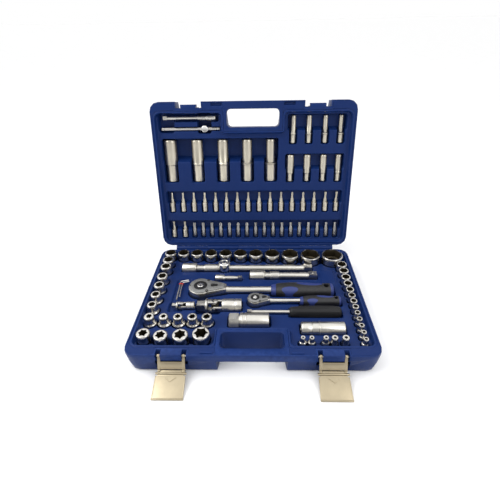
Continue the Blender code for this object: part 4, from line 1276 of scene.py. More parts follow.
@dataclass
class UniversalJoint:
    """Universal joint along x: drive hole at +x, male square at -x, cross between."""

    prefix: str
    body: str
    centre: Point
    radius: float
    square: float
    female: float
    male: float

    def yoke(self, direction: int, length: float, across: bool) -> Form:
        """Fork with two rounded ears and its round shank.

        Args:
            direction: Which way along x it points.
            length: Length of its shank past the web.
            across: True where its ears stand apart along y.

        Returns:
            The form.
        """
        r = self.radius
        place = Matrix.Translation(self.centre)
        if direction < 0:
            place = place @ Matrix.Rotation(pi, 4, "Z")
        form = Form()
        end = r + length
        hole = polygon_section(self.square / 2 + 0.1, 4)
        if direction > 0:
            stack = [Ring(end - self.square * 1.2, hole), Ring(end - 0.5, hole),
                     Ring(end, round_section(self.square * 0.62))]
            stack += rings(((end, r - 0.9), (end - 0.3, r - 0.3), (end - 1.1, r),
                            (end - length * 0.32, r), (end - length * 0.34, r - 0.4),
                            (end - length * 0.4, r - 0.4), (end - length * 0.42, r),
                            (r + 2.4, r), (r + 0.4, r - 0.5), (r * 0.94, r * 0.62)))
        else:
            male = polygon_section(self.square / 2, 4)
            tail = self.square * 1.15
            stack = rings(((r * 0.94, r * 0.62), (r + 0.4, r - 0.5), (r + 1.4, r), (end - 1.2, r),
                           (end - 0.3, r - 0.5), (end, r - 1.2), (end, self.square * 0.56)))
            stack += [Ring(end + 0.4, male, 0.97, 0.97), Ring(end + tail - 0.8, male, 0.97, 0.97),
                      Ring(end + tail, male, 0.84, 0.84)]
        form.loft(stack, 48, place @ ALONG_X)
        for side in (-1, 1):
            inner, outer = sorted((side * r * 0.56, side * r * 0.92))
            roll = FLAT if across else Matrix.Rotation(pi / 2, 4, "X")
            form.block((-0.2, inner, -r * 0.40), (r * 1.0, outer, r * 0.40), r * 0.07, place @ roll)
            form.rod((0, inner, 0), (0, outer, 0), r * 0.42, 32, r * 0.05, place @ roll)
            edge = side * r * 0.92
            form.rod((0, edge - side * r * 0.02, 0), (0, edge + side * r * 0.04, 0), r * 0.2, 24,
                     0.1, place @ roll)
        return form

    def build(self, finish: Finish, dark: Finish) -> None:
        """Make both yokes and the cross.

        Args:
            finish: Plating of the yokes.
            dark: Finish of the cross.
        """
        r = self.radius
        self.yoke(1, self.female, True).piece(self.prefix + "_socket_yoke", finish, self.body,
                                              "tool_chrome", [self.prefix + "_joint_female_yoke"])
        self.yoke(-1, self.male, False).piece(self.prefix + "_square_yoke", finish,
                                              self.body + "_male", "tool_chrome",
                                              [self.prefix + "_joint_male_yoke"])
        core = r * 0.5
        form = Form().block((-core,) * 3, (core,) * 3, r * 0.08, Matrix.Translation(self.centre))
        form.piece(self.prefix + "_cross", dark, self.body + "_cross", "pin_steel",
                   [self.prefix + "_joint_cross"])


@dataclass
class SparkSocket:
    """Spark plug socket along x with a hexagon at its drive end."""

    name: str
    node: str
    body: str
    start: Point
    length: float
    radius: float
    size: float
    square: float
    ribs: Sequence[float]
    drive_flats: bool = True

    def build(self, finish: Finish, rubber: Finish) -> None:
        """Make the socket and its rubber insert.

        Args:
            finish: Plating of the socket.
            rubber: Finish of the insert.
        """
        r, n = self.radius, self.length
        hex_end = n * 0.26
        nut = polygon_section(r * 0.86, 6, pi / 6) if self.drive_flats else round_section(r * 0.985)
        drive = polygon_section(self.square / 2, 4)
        stack = [Ring(12.0, drive), Ring(0.6, drive), Ring(0.0, round_section(self.square * 0.64)),
                 Ring(0.0, nut, 0.86, 0.86), Ring(0.8, nut, 0.95, 0.95), Ring(2.0, nut),
                 Ring(hex_end - 1.4, nut), Ring(hex_end - 0.6, nut, 0.95, 0.95)]
        neck = r * 0.84 if self.drive_flats else r * 0.985
        stack += rings(((hex_end, neck), (hex_end + 0.8, neck), (hex_end + 1.6, r - 0.2),
                        (hex_end + 2.2, r)))
        for rib in self.ribs:
            at = n * rib
            stack += rings(((at - 1.9, r), (at - 1.7, r - 0.35), (at - 1.3, r - 0.35),
                            (at - 1.0, r + 0.4), (at - 0.7, r + 0.55), (at + 0.7, r + 0.55),
                            (at + 1.0, r + 0.4), (at + 1.3, r - 0.35), (at + 1.7, r - 0.35),
                            (at + 1.9, r)))
        stack += rings(((n - 1.4, r), (n - 0.4, r - 0.5), (n, r - 1.1),
                        (n, Mouth.SIX_POINT.reach(self.size) + 0.1)))
        hole = Mouth.SIX_POINT.section(self.size)
        stack += [Ring(n - 0.8, hole), Ring(n - 16.0, hole),
                  Ring(n - 16.5, round_section(self.size * 0.4))]
        place = Matrix.Translation(self.start) @ ALONG_X
        form = Form().loft(stack, 72, place, (len(stack) - 2, len(stack)))
        form.piece(self.name, finish, self.body, "tool_chrome", [self.node], bore=rubber)
        ring = rings([(n - back, self.size * part) for back, part in (
            (13.0, 0.45), (8.0, 0.46), (7.0, 0.42), (7.0, 0.3), (12.0, 0.28))])
        insert = Form().loft(ring, 32, place)
        insert.piece(self.name + "_insert", rubber, self.body, "black_plastic")


@dataclass
class HexKeys:
    """Two L-shaped hex keys in a small red clip."""

    z: float = 31.5

    def key(self, x: float, y: float, reach: float, down: float, side: float) -> Form:
        """One key: long arm, bent corner and short arm in one sweep.

        Args:
            x: Place of the corner.
            y: Place of the corner.
            reach: Length of the short arm.
            down: Length of the long arm.
            side: Width across the flats.

        Returns:
            The form.
        """
        bend = side * 1.1
        part = bmesh.new()
        ring = bmesh.ops.create_circle(part, cap_ends=True, segments=6,
                                       radius=side / 2 / cos(pi / 6))["verts"]
        long_way = Vector((1.6, -down, 0)).normalized()
        short_way = Vector((reach, 4.2, 0)).normalized()
        turn = Vector((0, 0, 1)).rotation_difference(long_way).to_matrix().to_4x4()
        start = Vector((x, y, self.z)) + long_way * down
        bmesh.ops.transform(part, matrix=Matrix.Translation(start) @ turn, verts=ring)
        face = part.faces[:]
        corner = Vector((x, y, self.z))
        run = [-long_way * (down - bend)]
        steps = 5
        last = corner + long_way * bend
        for k in range(1, steps + 1):
            t = k / steps
            here = corner + long_way * bend * (1 - t) ** 2 + short_way * bend * t ** 2
            run.append(here - last)
            last = here
        run.append(short_way * (reach - bend))
        heading = -long_way
        for move in run:
            grown = bmesh.ops.extrude_face_region(part, geom=face)["geom"]
            face = [g for g in grown if isinstance(g, bmesh.types.BMFace)]
            verts = [g for g in grown if isinstance(g, bmesh.types.BMVert)]
            bmesh.ops.translate(part, vec=move, verts=verts)
            centre = sum((v.co for v in verts), Vector()) / len(verts)
            spin = heading.rotation_difference(move.normalized()).to_matrix()
            bmesh.ops.rotate(part, cent=centre, matrix=spin, verts=verts)
            heading = move.normalized()
        return Form().take(part)

    def build(self, finish: Finish, clip: Finish) -> None:
        """Make the keys and their clip.

        Args:
            finish: Plating of the keys.
            clip: Plastic of the clip.
        """
        self.key(-134.5, 40.0, 14.5, 51.0, 2.4).piece("large_key", finish, "hex_keys",
                                                      "tool_chrome", ["hex_key_large"], 25.0)
        self.key(-130.6, 36.4, 12.0, 40.0, 1.6).piece("small_key", finish, "hex_keys",
                                                      "tool_chrome", ["hex_key_small"], 25.0)
        low, high = 31.2, 33.4
        form = Form().block((-136.4, low, 29.4), (-128.9, high, 30.2), 0.3)
        for x in (-136.4, -129.7):
            form.block((x, low, 29.4), (x + 0.8, high, 33.2), 0.3)
        form.block((-136.4, low + 0.1, 32.7), (-128.9, high - 0.1, 33.3), 0.25)
        form.piece("key_clip", clip, "hex_keys", "red_plastic", ["hex_key_clip"])


# ---------------------------------------------------------------- handles
@dataclass
class Spinner:
    """Quarter-inch spinner handle along x."""

    y: float = -41.0
    z: float = 32.0
    square_start: float = -9.2
    shaft_start: float = -1.5
    shaft_radius: float = 3.1
    grip_start: float = 60.5
    grip_length: float = 84.5

    def build(self, finish: Finish, plastic: Finish) -> None:
        """Make the shaft and the grip.

        Args:
            finish: Plating of the shaft.
            plastic: Plastic of the grip.
        """
        r = self.shaft_radius
        male = polygon_section(QUARTER_SQUARE / 2, 4)
        run = self.shaft_start - self.square_start
        stack = [Ring(0.0, male, 0.84, 0.84), Ring(0.7, male, 0.96, 0.96), Ring(run - 0.4, male)]
        stack += rings(((run, r), (run + 1.0, r), (run + 1.2, r - 0.3), (run + 2.4, r - 0.3),
                        (run + 2.6, r), (100.0, r), (108.0, r - 0.4)))
        place = Matrix.Translation((self.square_start, self.y, self.z)) @ ALONG_X
        form = Form().loft(stack, 48, place)
        form.ball((self.square_start + 3.6, self.y, self.z + 2.8), 0.9)
        form.piece("handle_shaft", finish, "spinner", "tool_chrome", ["spinner_shaft"])
        n = self.grip_length

        def soft_square(turn: float) -> float:
            """Square with rounded sides."""
            return 1.0 / (abs(cos(turn)) ** 4.5 + abs(sin(turn)) ** 4.5) ** (1 / 4.5)

        profile = ((0.0, 3.6, 0.0), (0.0, 5.4, 0.0), (0.5, 6.6, 0.0), (2.0, 7.8, 0.0),
                   (5.0, 8.4, 0.1), (9.0, 8.2, 0.4), (13.0, 8.1, 0.8), (18.0, 8.6, 1.0),
                   (40.0, 9.0, 1.0), (62.0, 9.1, 1.0), (72.0, 8.9, 0.9), (78.0, 8.6, 0.6),
                   (n - 3.0, 8.2, 0.4), (n - 1.0, 7.2, 0.2), (n - 0.2, 5.8, 0.0), (n, 4.0, 0.0))
        stack = []
        for height, radius, square in profile:
            def section(turn: float, radius: float = radius, square: float = square) -> float:
                """Blend of a circle and a soft square, fluted where it is square."""
                side = 1 + (soft_square(turn) - 1) * square * 0.75
                return radius * (side - 0.02 * square * abs(cos(6 * turn)))
            stack.append(Ring(height, section))
        place = Matrix.Translation((self.grip_start, self.y, self.z)) @ ALONG_X
        form = Form().loft(stack, 96, place)
        form.piece("handle_grip", plastic, "spinner", "black_plastic", ["spinner_grip"])


@dataclass
class Ratchet:
    """Ratchet along x with its direction lever up."""

    prefix: str
    x: float
    y: float
    scale: float
    top: float
    head_height: float
    neck_x: float
    grip_x: float
    end_x: float
    grip_radius: float
    square: float

    @property
    def body(self) -> str:
        """CAD body of the ratchet."""
        return self.prefix + "_ratchet"

    @property
    def head_top(self) -> float:
        """Height of the head under its cover."""
        return self.top - 1.9

    @property
    def shaft_z(self) -> float:
        """Height of the shaft's axis."""
        return self.head_top - self.head_height / 2

    def post(self, form: Form, ahead: float, span: Pair, radius: float, segments: int,
             soft: float = 0.3) -> Form:
        """Add an upright bar on the ratchet's middle line.

        Args:
            form: Form that takes the bar.
            ahead: Distance from the head's axis towards the grip.
            span: Heights of both ends.
            radius: Radius of the bar.
            segments: Points round it.
            soft: Width of the end chamfer.

        Returns:
            The form.
        """
        x = self.x + ahead
        return form.rod((x, self.y, span[0]), (x, self.y, span[1]), radius, segments, soft)

    def at_head(self, z: float) -> Matrix:
        """Place on the head's axis at a height."""
        return Matrix.Translation((self.x, self.y, z))

    def head(self, finish: Finish) -> None:
        """Forged head and shaft.

        Args:
            finish: Plating of the head.
        """
        k, h = self.scale, self.head_height
        neck = self.neck_x - self.x
        outline = pear_section(RATCHET_HEAD * k, neck, 7.4 * k)
        low = self.head_top - h
        stack = [Ring(0.0, outline, 0.93, 0.93), Ring(0.6, outline, 0.97, 0.97),
                 Ring(1.6, outline), Ring(h - 1.0, outline), Ring(h - 0.3, outline, 0.985, 0.985),
                 Ring(h, outline, 0.965, 0.965)]
        form = Form().loft(stack, 160, self.at_head(low))
        r = 6.6 * k
        run = self.grip_x - self.neck_x
        shaft = rings(((-4.0 * k, r * 0.6), (-2.0 * k, r * 1.1), (2.0 * k, r * 1.12), (6.0 * k, r),
                       (run * 0.5, r * 0.94), (run - 3.0, r), (run + 2.0, r), (run + 2.4, r * 0.7),
                       (run + 20.0, r * 0.7)))
        form.loft(shaft, 64, Matrix.Translation((self.neck_x, self.y, self.shaft_z)) @ ALONG_X)
        head = form.piece(self.prefix + "_head", finish, self.body, "tool_chrome",
                          [self.body + "_body"])
        carve(head, self.post(Form(), 0.0, (low + 2.0, self.top + 9), RATCHET_BORE * k, 72))

    def cover(self, finish: Finish, dark: Finish) -> None:
        """Matt cover plate with its bore, screws and lever seat.

        Args:
            finish: Finish of the plate.
            dark: Finish of the screws.
        """
        k, t = self.scale, 1.6
        outline = pear_section(RATCHET_HEAD * k - 1.2, self.neck_x - self.x - 3.0, 6.4 * k)
        stack = [Ring(0.0, outline), Ring(t - 0.5, outline), Ring(t - 0.15, outline, 0.985, 0.985),
                 Ring(t, outline, 0.965, 0.965)]
        form = Form().loft(stack, 160, self.at_head(self.top - t))
        plate = form.piece(self.prefix + "_cover", finish, self.body, "grey_plate",
                           [self.body + "_cover"])
        through = (self.top - 9, self.top + 9)
        holes = self.post(Form(), 0.0, through, RATCHET_BORE * k, 72)
        self.post(holes, SELECTOR_AT * k, through, 3.5 * k, 36)
        self.post(holes, (SELECTOR_AT + 13.5) * k, (self.top - 0.8, self.top + 9), 1.1 * k, 16,
                  0.1)
        carve(plate, holes)
        seats = Form()
        for side in (-1, 1):
            at = (self.x + 12.9 * k, self.y + side * 14.4 * k)
            seats.rod((*at, self.top - 1.0), (*at, self.top + 0.4), 2.5 * k, 24, 0.25)
        self.post(seats, -18.4 * k, (self.top - 1.0, self.top + 0.25), 1.4 * k, 20, 0.2)
        screws = seats.piece(self.prefix + "_screws", dark, self.body, "pin_steel")
        slots = Form()
        for side in (-1, 1):
            at = (self.x + 12.9 * k, self.y + side * 14.4 * k, self.top - 0.3)
            star = star_section(1.25 * k)
            slots.loft([Ring(0.0, star), Ring(2.0, star)], 24, Matrix.Translation(at))
        carve(screws, slots)

    def drive(self, finish: Finish, ring: Finish,
              bright: Finish) -> None:
        """Turning spindle with its black ring, drive square and release button.

        Args:
            finish: Plating of the spindle.
            ring: Finish of the ring round the button.
            bright: Plating of the button.
        """
        k, h = self.scale, self.head_height
        low, r, button = self.head_top - h, 11.8 * k, 5.6 * k
        half = self.square / 2
        drop = self.square * 1.2
        male = polygon_section(half, 4)
        stack = [Ring(-drop, male, 0.84, 0.84), Ring(-drop + 0.8, male, 0.97, 0.97),
                 Ring(-0.4, male, 0.97, 0.97)]
        stack += rings(((0.0, r - 1.0), (1.0, r), (h + 0.6, r), (h + 1.0, r - 0.3),
                        (h + 1.0, button + 0.4), (h - 5.0 * k, button + 0.4)))
        form = Form().loft(stack, 72, self.at_head(low))
        form.ball((self.x + half * 0.86, self.y, low - drop * 0.55), self.square * 0.14)
        form.piece(self.prefix + "_spindle", finish, self.prefix + "_drive", "tool_chrome",
                   [self.body + "_drive"])
        top = self.top
        stack = rings(((top - 0.8, r - 0.2), (top - 0.3, r - 0.25), (top + 0.2, r - 0.9),
                       (top + 0.3, r * 0.72), (top + 0.2, button + 0.9),
                       (top + 0.2, button * 0.5)))
        form = Form().loft(stack, 72, Matrix.Translation((self.x, self.y, 0)))
        collar = form.piece(self.prefix + "_ring", ring, self.prefix + "_drive", "black_plastic")
        carve(collar, self.post(Form(), 0.0, (self.top - 5, self.top + 5), button + 0.45, 72))
        rise = self.top + 1.3 * k
        stack = rings(((self.top - 1.3, button), (rise - 0.9, button), (rise - 0.3, button - 0.35),
                       (rise, button - 1.1), (rise - 0.25, button * 0.55), (rise - 0.45, 0.3)))
        Form().loft(stack, 48, Matrix.Translation((self.x, self.y, 0))).piece(
            self.prefix + "_button", bright, self.prefix + "_button", "tool_chrome",
            [self.body + "_button"])

    def lever(self, plastic: Finish) -> None:
        """Direction lever: round hub with a tapered thumb piece.

        Args:
            plastic: Plastic of the lever.
        """
        k = self.scale
        at = self.x + SELECTOR_AT * k
        form = self.post(Form(), SELECTOR_AT * k, (self.top - 1.5, self.top + 1.0), 3.0 * k, 36)
        side = [(-2.4, -2.2), (1.6, -2.7), (7.6, -1.9), (9.4, -1.0)]
        side += [(ahead, -across) for ahead, across in reversed(side)]
        outline = [(at + ahead * k, self.y + across * k) for ahead, across in side]
        form.slab(outline, self.top + 0.35, self.top + 2.2, 0.5 * k)
        for index in range(3):
            x = at + (4.6 + index * 1.3) * k
            form.block((x - 0.28 * k, self.y - 1.5 * k, self.top + 2.0),
                       (x + 0.28 * k, self.y + 1.5 * k, self.top + 2.5), 0.12 * k)
        form.piece(self.prefix + "_thumb_lever", plastic, self.prefix + "_selector",
                   "black_plastic", [self.body + "_lever"])

    def grip(self, finish: Finish) -> None:
        """Two-tone grip with a hanging hole.

        Args:
            finish: Material of the grip.
        """
        n = self.end_x - self.grip_x - 0.4
        profile = ((0.0, 0.50), (0.004, 0.60), (0.02, 0.70), (0.05, 0.76), (0.075, 0.80),
                   (0.078, 0.77), (0.085, 0.77), (0.088, 0.82), (0.16, 0.92), (0.3, 0.985),
                   (0.45, 1.0), (0.6, 0.95), (0.72, 0.875), (0.82, 0.86), (0.9, 0.89),
                   (0.945, 0.90), (0.948, 0.87), (0.955, 0.87), (0.958, 0.88), (0.985, 0.80),
                   (0.996, 0.68), (1.0, 0.55))

        def squarish(turn: float) -> float:
            """Rounded box section."""
            return 1.0 / (abs(cos(turn)) ** 2.5 + abs(sin(turn)) ** 2.5) ** (1 / 2.5)

        stack = [Ring(n * at, squarish, self.grip_radius * size * 0.97,
                      self.grip_radius * size * 0.97 * 0.8) for at, size in profile]
        place = Matrix.Translation((self.grip_x + 0.4, self.y, self.shaft_z)) @ ALONG_X
        grip = Form().loft(stack, 96, place).piece(self.prefix + "_grip", finish, self.body,
                                                   "soft_grip", [self.body + "_grip"])
        hole = self.end_x - n * 0.12
        carve(grip, Form().rod((hole, self.y, 0), (hole, self.y, 80), self.grip_radius * 0.3, 40))


# ---------------------------------------------------------------- latches and hinge
def along(angle: float, distance: float, offset: float = 0.0) -> Vector:
    """Point in the y-z plane at a distance along a direction and to its right.

    Args:
        angle: Direction in degrees from +Y towards +Z.
        distance: Distance along it.
        offset: Distance to its right.

    Returns:
        The point, with x at zero.
    """
    a = radians(angle)
    return Vector((0.0, distance * cos(a) + offset * sin(a), distance * sin(a) - offset * cos(a)))


@dataclass
class DrawLatch:
    """Draw latch that hangs open: link, wide lever and two pins."""

    side: str
    x: float
    pin_y: float = -134.0
    pin_z: float = 33.0
    pin_radius: float = 1.2
    link_angle: float = 244.5
    link_length: float = 24.0
    lever_angle: float = 197.5
    lever_length: float = 40.0
    lever_half: float = 22.5
    arm_inner: float = 15.9
    arm_outer: float = 20.1
    plate: float = 1.2

    def frame_at(self, origin: Vector, angle: float) -> Matrix:
        """Local axes of a plate: x across, y along it and z out of its face.

        Args:
            origin: Point on its hinge line.
            angle: Direction in degrees from +Y towards +Z.

        Returns:
            The place matrix.
        """
        ahead = along(angle, 1.0)
        face = along(angle, 0.0, 1.0)
        turn = Matrix((Vector((1, 0, 0)), ahead, face)).transposed().to_4x4()
        return Matrix.Translation(origin) @ turn

    def build(self, finish: Finish, steel: Finish) -> None:
        """Make the link, the lever and the pins.

        Args:
            finish: Plating of the plates.
            steel: Finish of the pins.
        """
        pivot = Vector((self.x, self.pin_y, self.pin_z))
        knuckle = pivot + along(self.link_angle, self.link_length)
        place = self.frame_at(pivot, self.link_angle)
        length, t = self.link_length, self.plate / 2
        form = Form()
        w = self.arm_outer - 1.0
        form.slab(oblong(-w, w, 9.0, length - 3.4), -t, t, 0.35, place)
        form.slab(oblong(-w + 5.0, w - 5.0, 11.2, length - 5.6), t - 0.2, t + 0.35, 0.3, place)
        for s in (-1, 1):
            inner, outer = sorted((s * self.arm_inner, s * self.arm_outer))
            form.slab(oblong(inner, outer, 0.0, length), -t - 0.2, t + 0.2, 0.3, place)
            for at, radius in ((0.0, 2.4), (length, 2.5)):
                form.rod((inner + 0.1, at, 0), (outer - 0.1, at, 0), radius, 28, 0.35, place)
        form.piece(self.side + "_link", finish, self.side + "_link", "latch_nickel",
                   [self.side + "_latch_link"])
        place = self.frame_at(knuckle, self.lever_angle)
        low = 2.5 - self.plate
        high, end, w = 2.5, self.lever_length, self.lever_half
        form = Form()
        tube = self.arm_inner - 0.3
        form.rod((-tube, 0, 0), (tube, 0, 0), 2.5, 36, 0.25, place)
        form.slab(oblong(-tube, tube, 0.0, 4.4), low, high, 0.3, place)
        form.rod((-w, 3.6, high - 1.1), (w, 3.6, high - 1.1), 1.9, 32, 0.5, place)
        form.slab(oblong(-w + 3.0, w - 3.0, 4.6, 8.2), low - 0.6, high - 0.9, 0.2, place)
        form.slab([(-w + 0.6, 7.4), (w - 0.6, 7.4), (w, end - 1.4), (w, end), (-w, end),
                   (-w, end - 1.4)], low, high, 0.35, place, 3)
        form.rod((-w, end, high - 0.1), (w, end, high - 0.1), 1.3, 24, 0.4, place)
        for s in (-1, 1):
            arm = [(s * 8.8, 10.0), (s * 7.4, 9.4), (0.0, 14.6), (0.0, 16.2)]
            form.slab(arm if s > 0 else arm[::-1], high - 0.3, high + 0.7, 0.2, place)
            edge = sorted((s * (w - 1.6), s * (w - 0.7)))
            form.slab(oblong(*edge, 9.0, end - 2.6), high - 0.2, high + 0.25, 0.15, place)
        form.piece(self.side + "_lever", finish, self.side + "_lever", "latch_nickel",
                   [self.side + "_latch_lever"])
        pins = ((pivot, 22.0, "base", "_latch_base_pin", "_base_pin"),
                (knuckle, 20.0, self.side + "_link", "_latch_knuckle_pin", "_knuckle_pin"))
        for point, half, body, node, name in pins:
            form = Form().rod((-half, 0, 0), (half, 0, 0), self.pin_radius, 20, 0.3,
                              Matrix.Translation(point))
            form.piece(self.side + name, steel, body, "pin_steel", [self.side + node])


# ---------------------------------------------------------------- case
@dataclass(frozen=True)
class Trough:
    """Rectangular hollow or pad of a tray, whose low-y side may be a longer ramp."""

    x0: float
    x1: float
    y0: float
    y1: float
    floor: float
    corner: float = 3.0
    run: float = 2.0
    ramp: float = 0.0

    def distance(self, x: np.ndarray, y: np.ndarray) -> np.ndarray:
        """Signed distance to the outline, negative inside.

        Args:
            x: Places along the hinge.
            y: Places across it.

        Returns:
            Distances in millimetres.
        """
        half_x, half_y = (self.x1 - self.x0) / 2, (self.y1 - self.y0) / 2
        corner = min(self.corner, half_x, half_y)
        qx = np.abs(x - (self.x0 + self.x1) / 2) - half_x + corner
        qy = np.abs(y - (self.y0 + self.y1) / 2) - half_y + corner
        outside = np.hypot(np.maximum(qx, 0.0), np.maximum(qy, 0.0))
        reach = outside + np.minimum(np.maximum(qx, qy), 0.0) - corner
        if self.ramp > 0.0:
            reach = np.maximum(reach, (self.y0 - y) * self.run / self.ramp)
        return reach


@dataclass(frozen=True)
class Well:
    """Round hollow of a tray."""

    x: float
    y: float
    radius: float
    floor: float
    run: float = 1.3

    def distance(self, x: np.ndarray, y: np.ndarray) -> np.ndarray:
        """Signed distance to the rim, negative inside.

        Args:
            x: Places along the hinge.
            y: Places across it.

        Returns:
            Distances in millimetres.
        """
        return np.hypot(x - self.x, y - self.y) - self.radius


@dataclass(frozen=True)
class Wedge:
    """Hollow that widens from one end to the other along x."""

    x0: float
    x1: float
    y: float
    half0: float
    half1: float
    floor: float
    run: float = 2.0

    def distance(self, x: np.ndarray, y: np.ndarray) -> np.ndarray:
        """Signed distance to the outline, negative inside.

        Args:
            x: Places along the hinge.
            y: Places across it.

        Returns:
            Distances in millimetres.
        """
        t = np.clip((x - self.x0) / (self.x1 - self.x0), 0.0, 1.0)
        side = np.abs(y - self.y) - (self.half0 + (self.half1 - self.half0) * t)
        return np.maximum(side, np.maximum(self.x0 - x, x - self.x1))


def ease(value: np.ndarray) -> np.ndarray:
    """Smooth step from zero to one."""
    t = np.clip(value, 0.0, 1.0)
    return t * t * (3.0 - 2.0 * t)


@dataclass
class Tray:
    """Moulded inner skin of one case half, as a sheet over its field, hollows and pads."""

    name: str
    node: str
    body: str
    slot: str
    top: float
    field: Trough
    hollows: Sequence[object]
    pads: Sequence[Trough]
    notches: Sequence[Trough]
    grip: Trough
    outline: Trough
    place: Matrix = FLAT
    step: float = 1.1
    wall: float = 2.4
    blend: float = 9.0
    groove_out: float = 3.3
    groove_half: float = 1.3
    groove_depth: float = 1.2

    def height(self, x: np.ndarray, y: np.ndarray) -> np.ndarray:
        """Height of the skin at each point.

        Args:
            x: Places along the hinge.
            y: Places across it.

        Returns:
            Heights in millimetres.
        """
        first, second = self.field.distance(x, y), -self.grip.distance(x, y)
        mix = np.clip(0.5 + 0.5 * (first - second) / self.blend, 0.0, 1.0)
        inside = second + (first - second) * mix + self.blend * mix * (1.0 - mix)
        z = self.top + (self.field.floor - self.top) * ease(-inside / self.wall)
        for pad in self.pads:
            rise = ease(-pad.distance(x, y) / pad.run)
            z = np.where(rise > 0.0, np.maximum(z, self.field.floor + pad.floor * rise), z)
        for hollow in self.hollows:
            drop = ease(-hollow.distance(x, y) / hollow.run)
            z = np.where(drop > 0.0, np.minimum(z, z + (hollow.floor - z) * drop), z)
        z -= self.groove_depth * ease(1.0 - np.abs(inside - self.groove_out) / self.groove_half)
        return z

    def build(self, finish: Finish) -> None:
        """Make the sheet and its turned-down border.

        Args:
            finish: Plastic of the tray.
        """
        size_x, size_y = self.outline.x1 - self.outline.x0, self.outline.y1 - self.outline.y0
        sheet = bmesh.new()
        bmesh.ops.create_grid(sheet, x_segments=round(size_x / self.step),
                              y_segments=round(size_y / self.step), size=0.5)
        bmesh.ops.scale(sheet, vec=(size_x, size_y, 1.0), verts=sheet.verts)
        low, high = (self.outline.x0, self.outline.y0), (self.outline.x1, self.outline.y1)
        middle = [(a + b) / 2 for a, b in zip(low, high)]
        bmesh.ops.translate(sheet, vec=(*middle, 0), verts=sheet.verts)
        near = self.step * 0.6
        places = np.array([v.co for v in sheet.verts])
        x, y = places[:, 0].copy(), places[:, 1].copy()
        gone = self.outline.distance(x, y) > near
        for notch in self.notches:
            gone |= notch.distance(x, y) < -near
        sheet.verts.ensure_lookup_table()
        over = self.outline.distance(x, y)
        for index in np.nonzero((over > 0.0) & ~gone)[0]:
            corner = self.outline.corner
            cx = min(max(x[index], low[0] + corner), high[0] - corner)
            cy = min(max(y[index], low[1] + corner), high[1] - corner)
            away = Vector((x[index] - cx, y[index] - cy)).normalized() * corner
            x[index], y[index] = cx + away.x, cy + away.y
        for notch in self.notches:
            close = (np.abs(notch.distance(x, y)) <= near) & ~gone
            for index in np.nonzero(close)[0]:
                sides = [(abs(place - edge), axis, edge) for place, axis, edges in (
                    (x[index], 0, (notch.x0, notch.x1)), (y[index], 1, (notch.y0, notch.y1)))
                    for edge in edges]
                _, axis, value = min(sides)
                if axis:
                    y[index] = value
                else:
                    x[index] = value
        z = self.height(x, y)
        for vert, *co in zip(sheet.verts, x, y, z):
            vert.co = co
        dead = [vert for vert, drop in zip(sheet.verts, gone) if drop]
        bmesh.ops.delete(sheet, geom=dead, context="VERTS")
        border = [edge for edge in sheet.edges if edge.is_boundary]
        grown = bmesh.ops.extrude_edge_only(sheet, edges=border)["geom"]
        skirt = [g for g in grown if isinstance(g, bmesh.types.BMVert)]
        bmesh.ops.translate(sheet, vec=(0, 0, -1.5), verts=skirt)
        bmesh.ops.recalc_face_normals(sheet, faces=sheet.faces[:])
        if sum(face.normal.z for face in sheet.faces) < 0.0:
            bmesh.ops.reverse_faces(sheet, faces=sheet.faces[:])
        Form(self.place, sheet).piece(self.name, finish, self.body, self.slot, [self.node], 62.0)


@dataclass
class CaseHalf:
    """Outer skin of one case half, softened along its edges."""

    name: str
    node: str
    body: str
    slot: str
    soft: float = 0.7

    def build(self, finish: Finish) -> None:
        """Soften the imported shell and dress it.

        Args:
            finish: Plastic of the shell.
        """
        skin = bmesh.new()
        skin.from_mesh(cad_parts[self.node].data)
        bmesh.ops.remove_doubles(skin, verts=skin.verts, dist=0.00001)
        bmesh.ops.dissolve_limit(skin, angle_limit=radians(0.6), verts=skin.verts, edges=skin.edges)
        crisp = [e for e in skin.edges if len(e.link_faces) == 2
                 and e.calc_face_angle(0.0) > radians(50) and e.calc_length() > 0.002]
        bmesh.ops.bevel(skin, geom=crisp, offset=self.soft * MM, offset_type="OFFSET", segments=2,
                        profile=0.5, affect="EDGES", material=-1, clamp_overlap=True)
        bmesh.ops.transform(skin, matrix=Matrix.Scale(1.0 / MM, 4), verts=skin.verts)
        Form(FLAT, skin).piece(self.name, finish, self.body, self.slot, [self.node], 40.0)


BASE_PADS = (Trough(124.0, 151.0, 34.0, 76.0, 1.0, 4.0, 1.2),)
NOTCH_END = 150.0


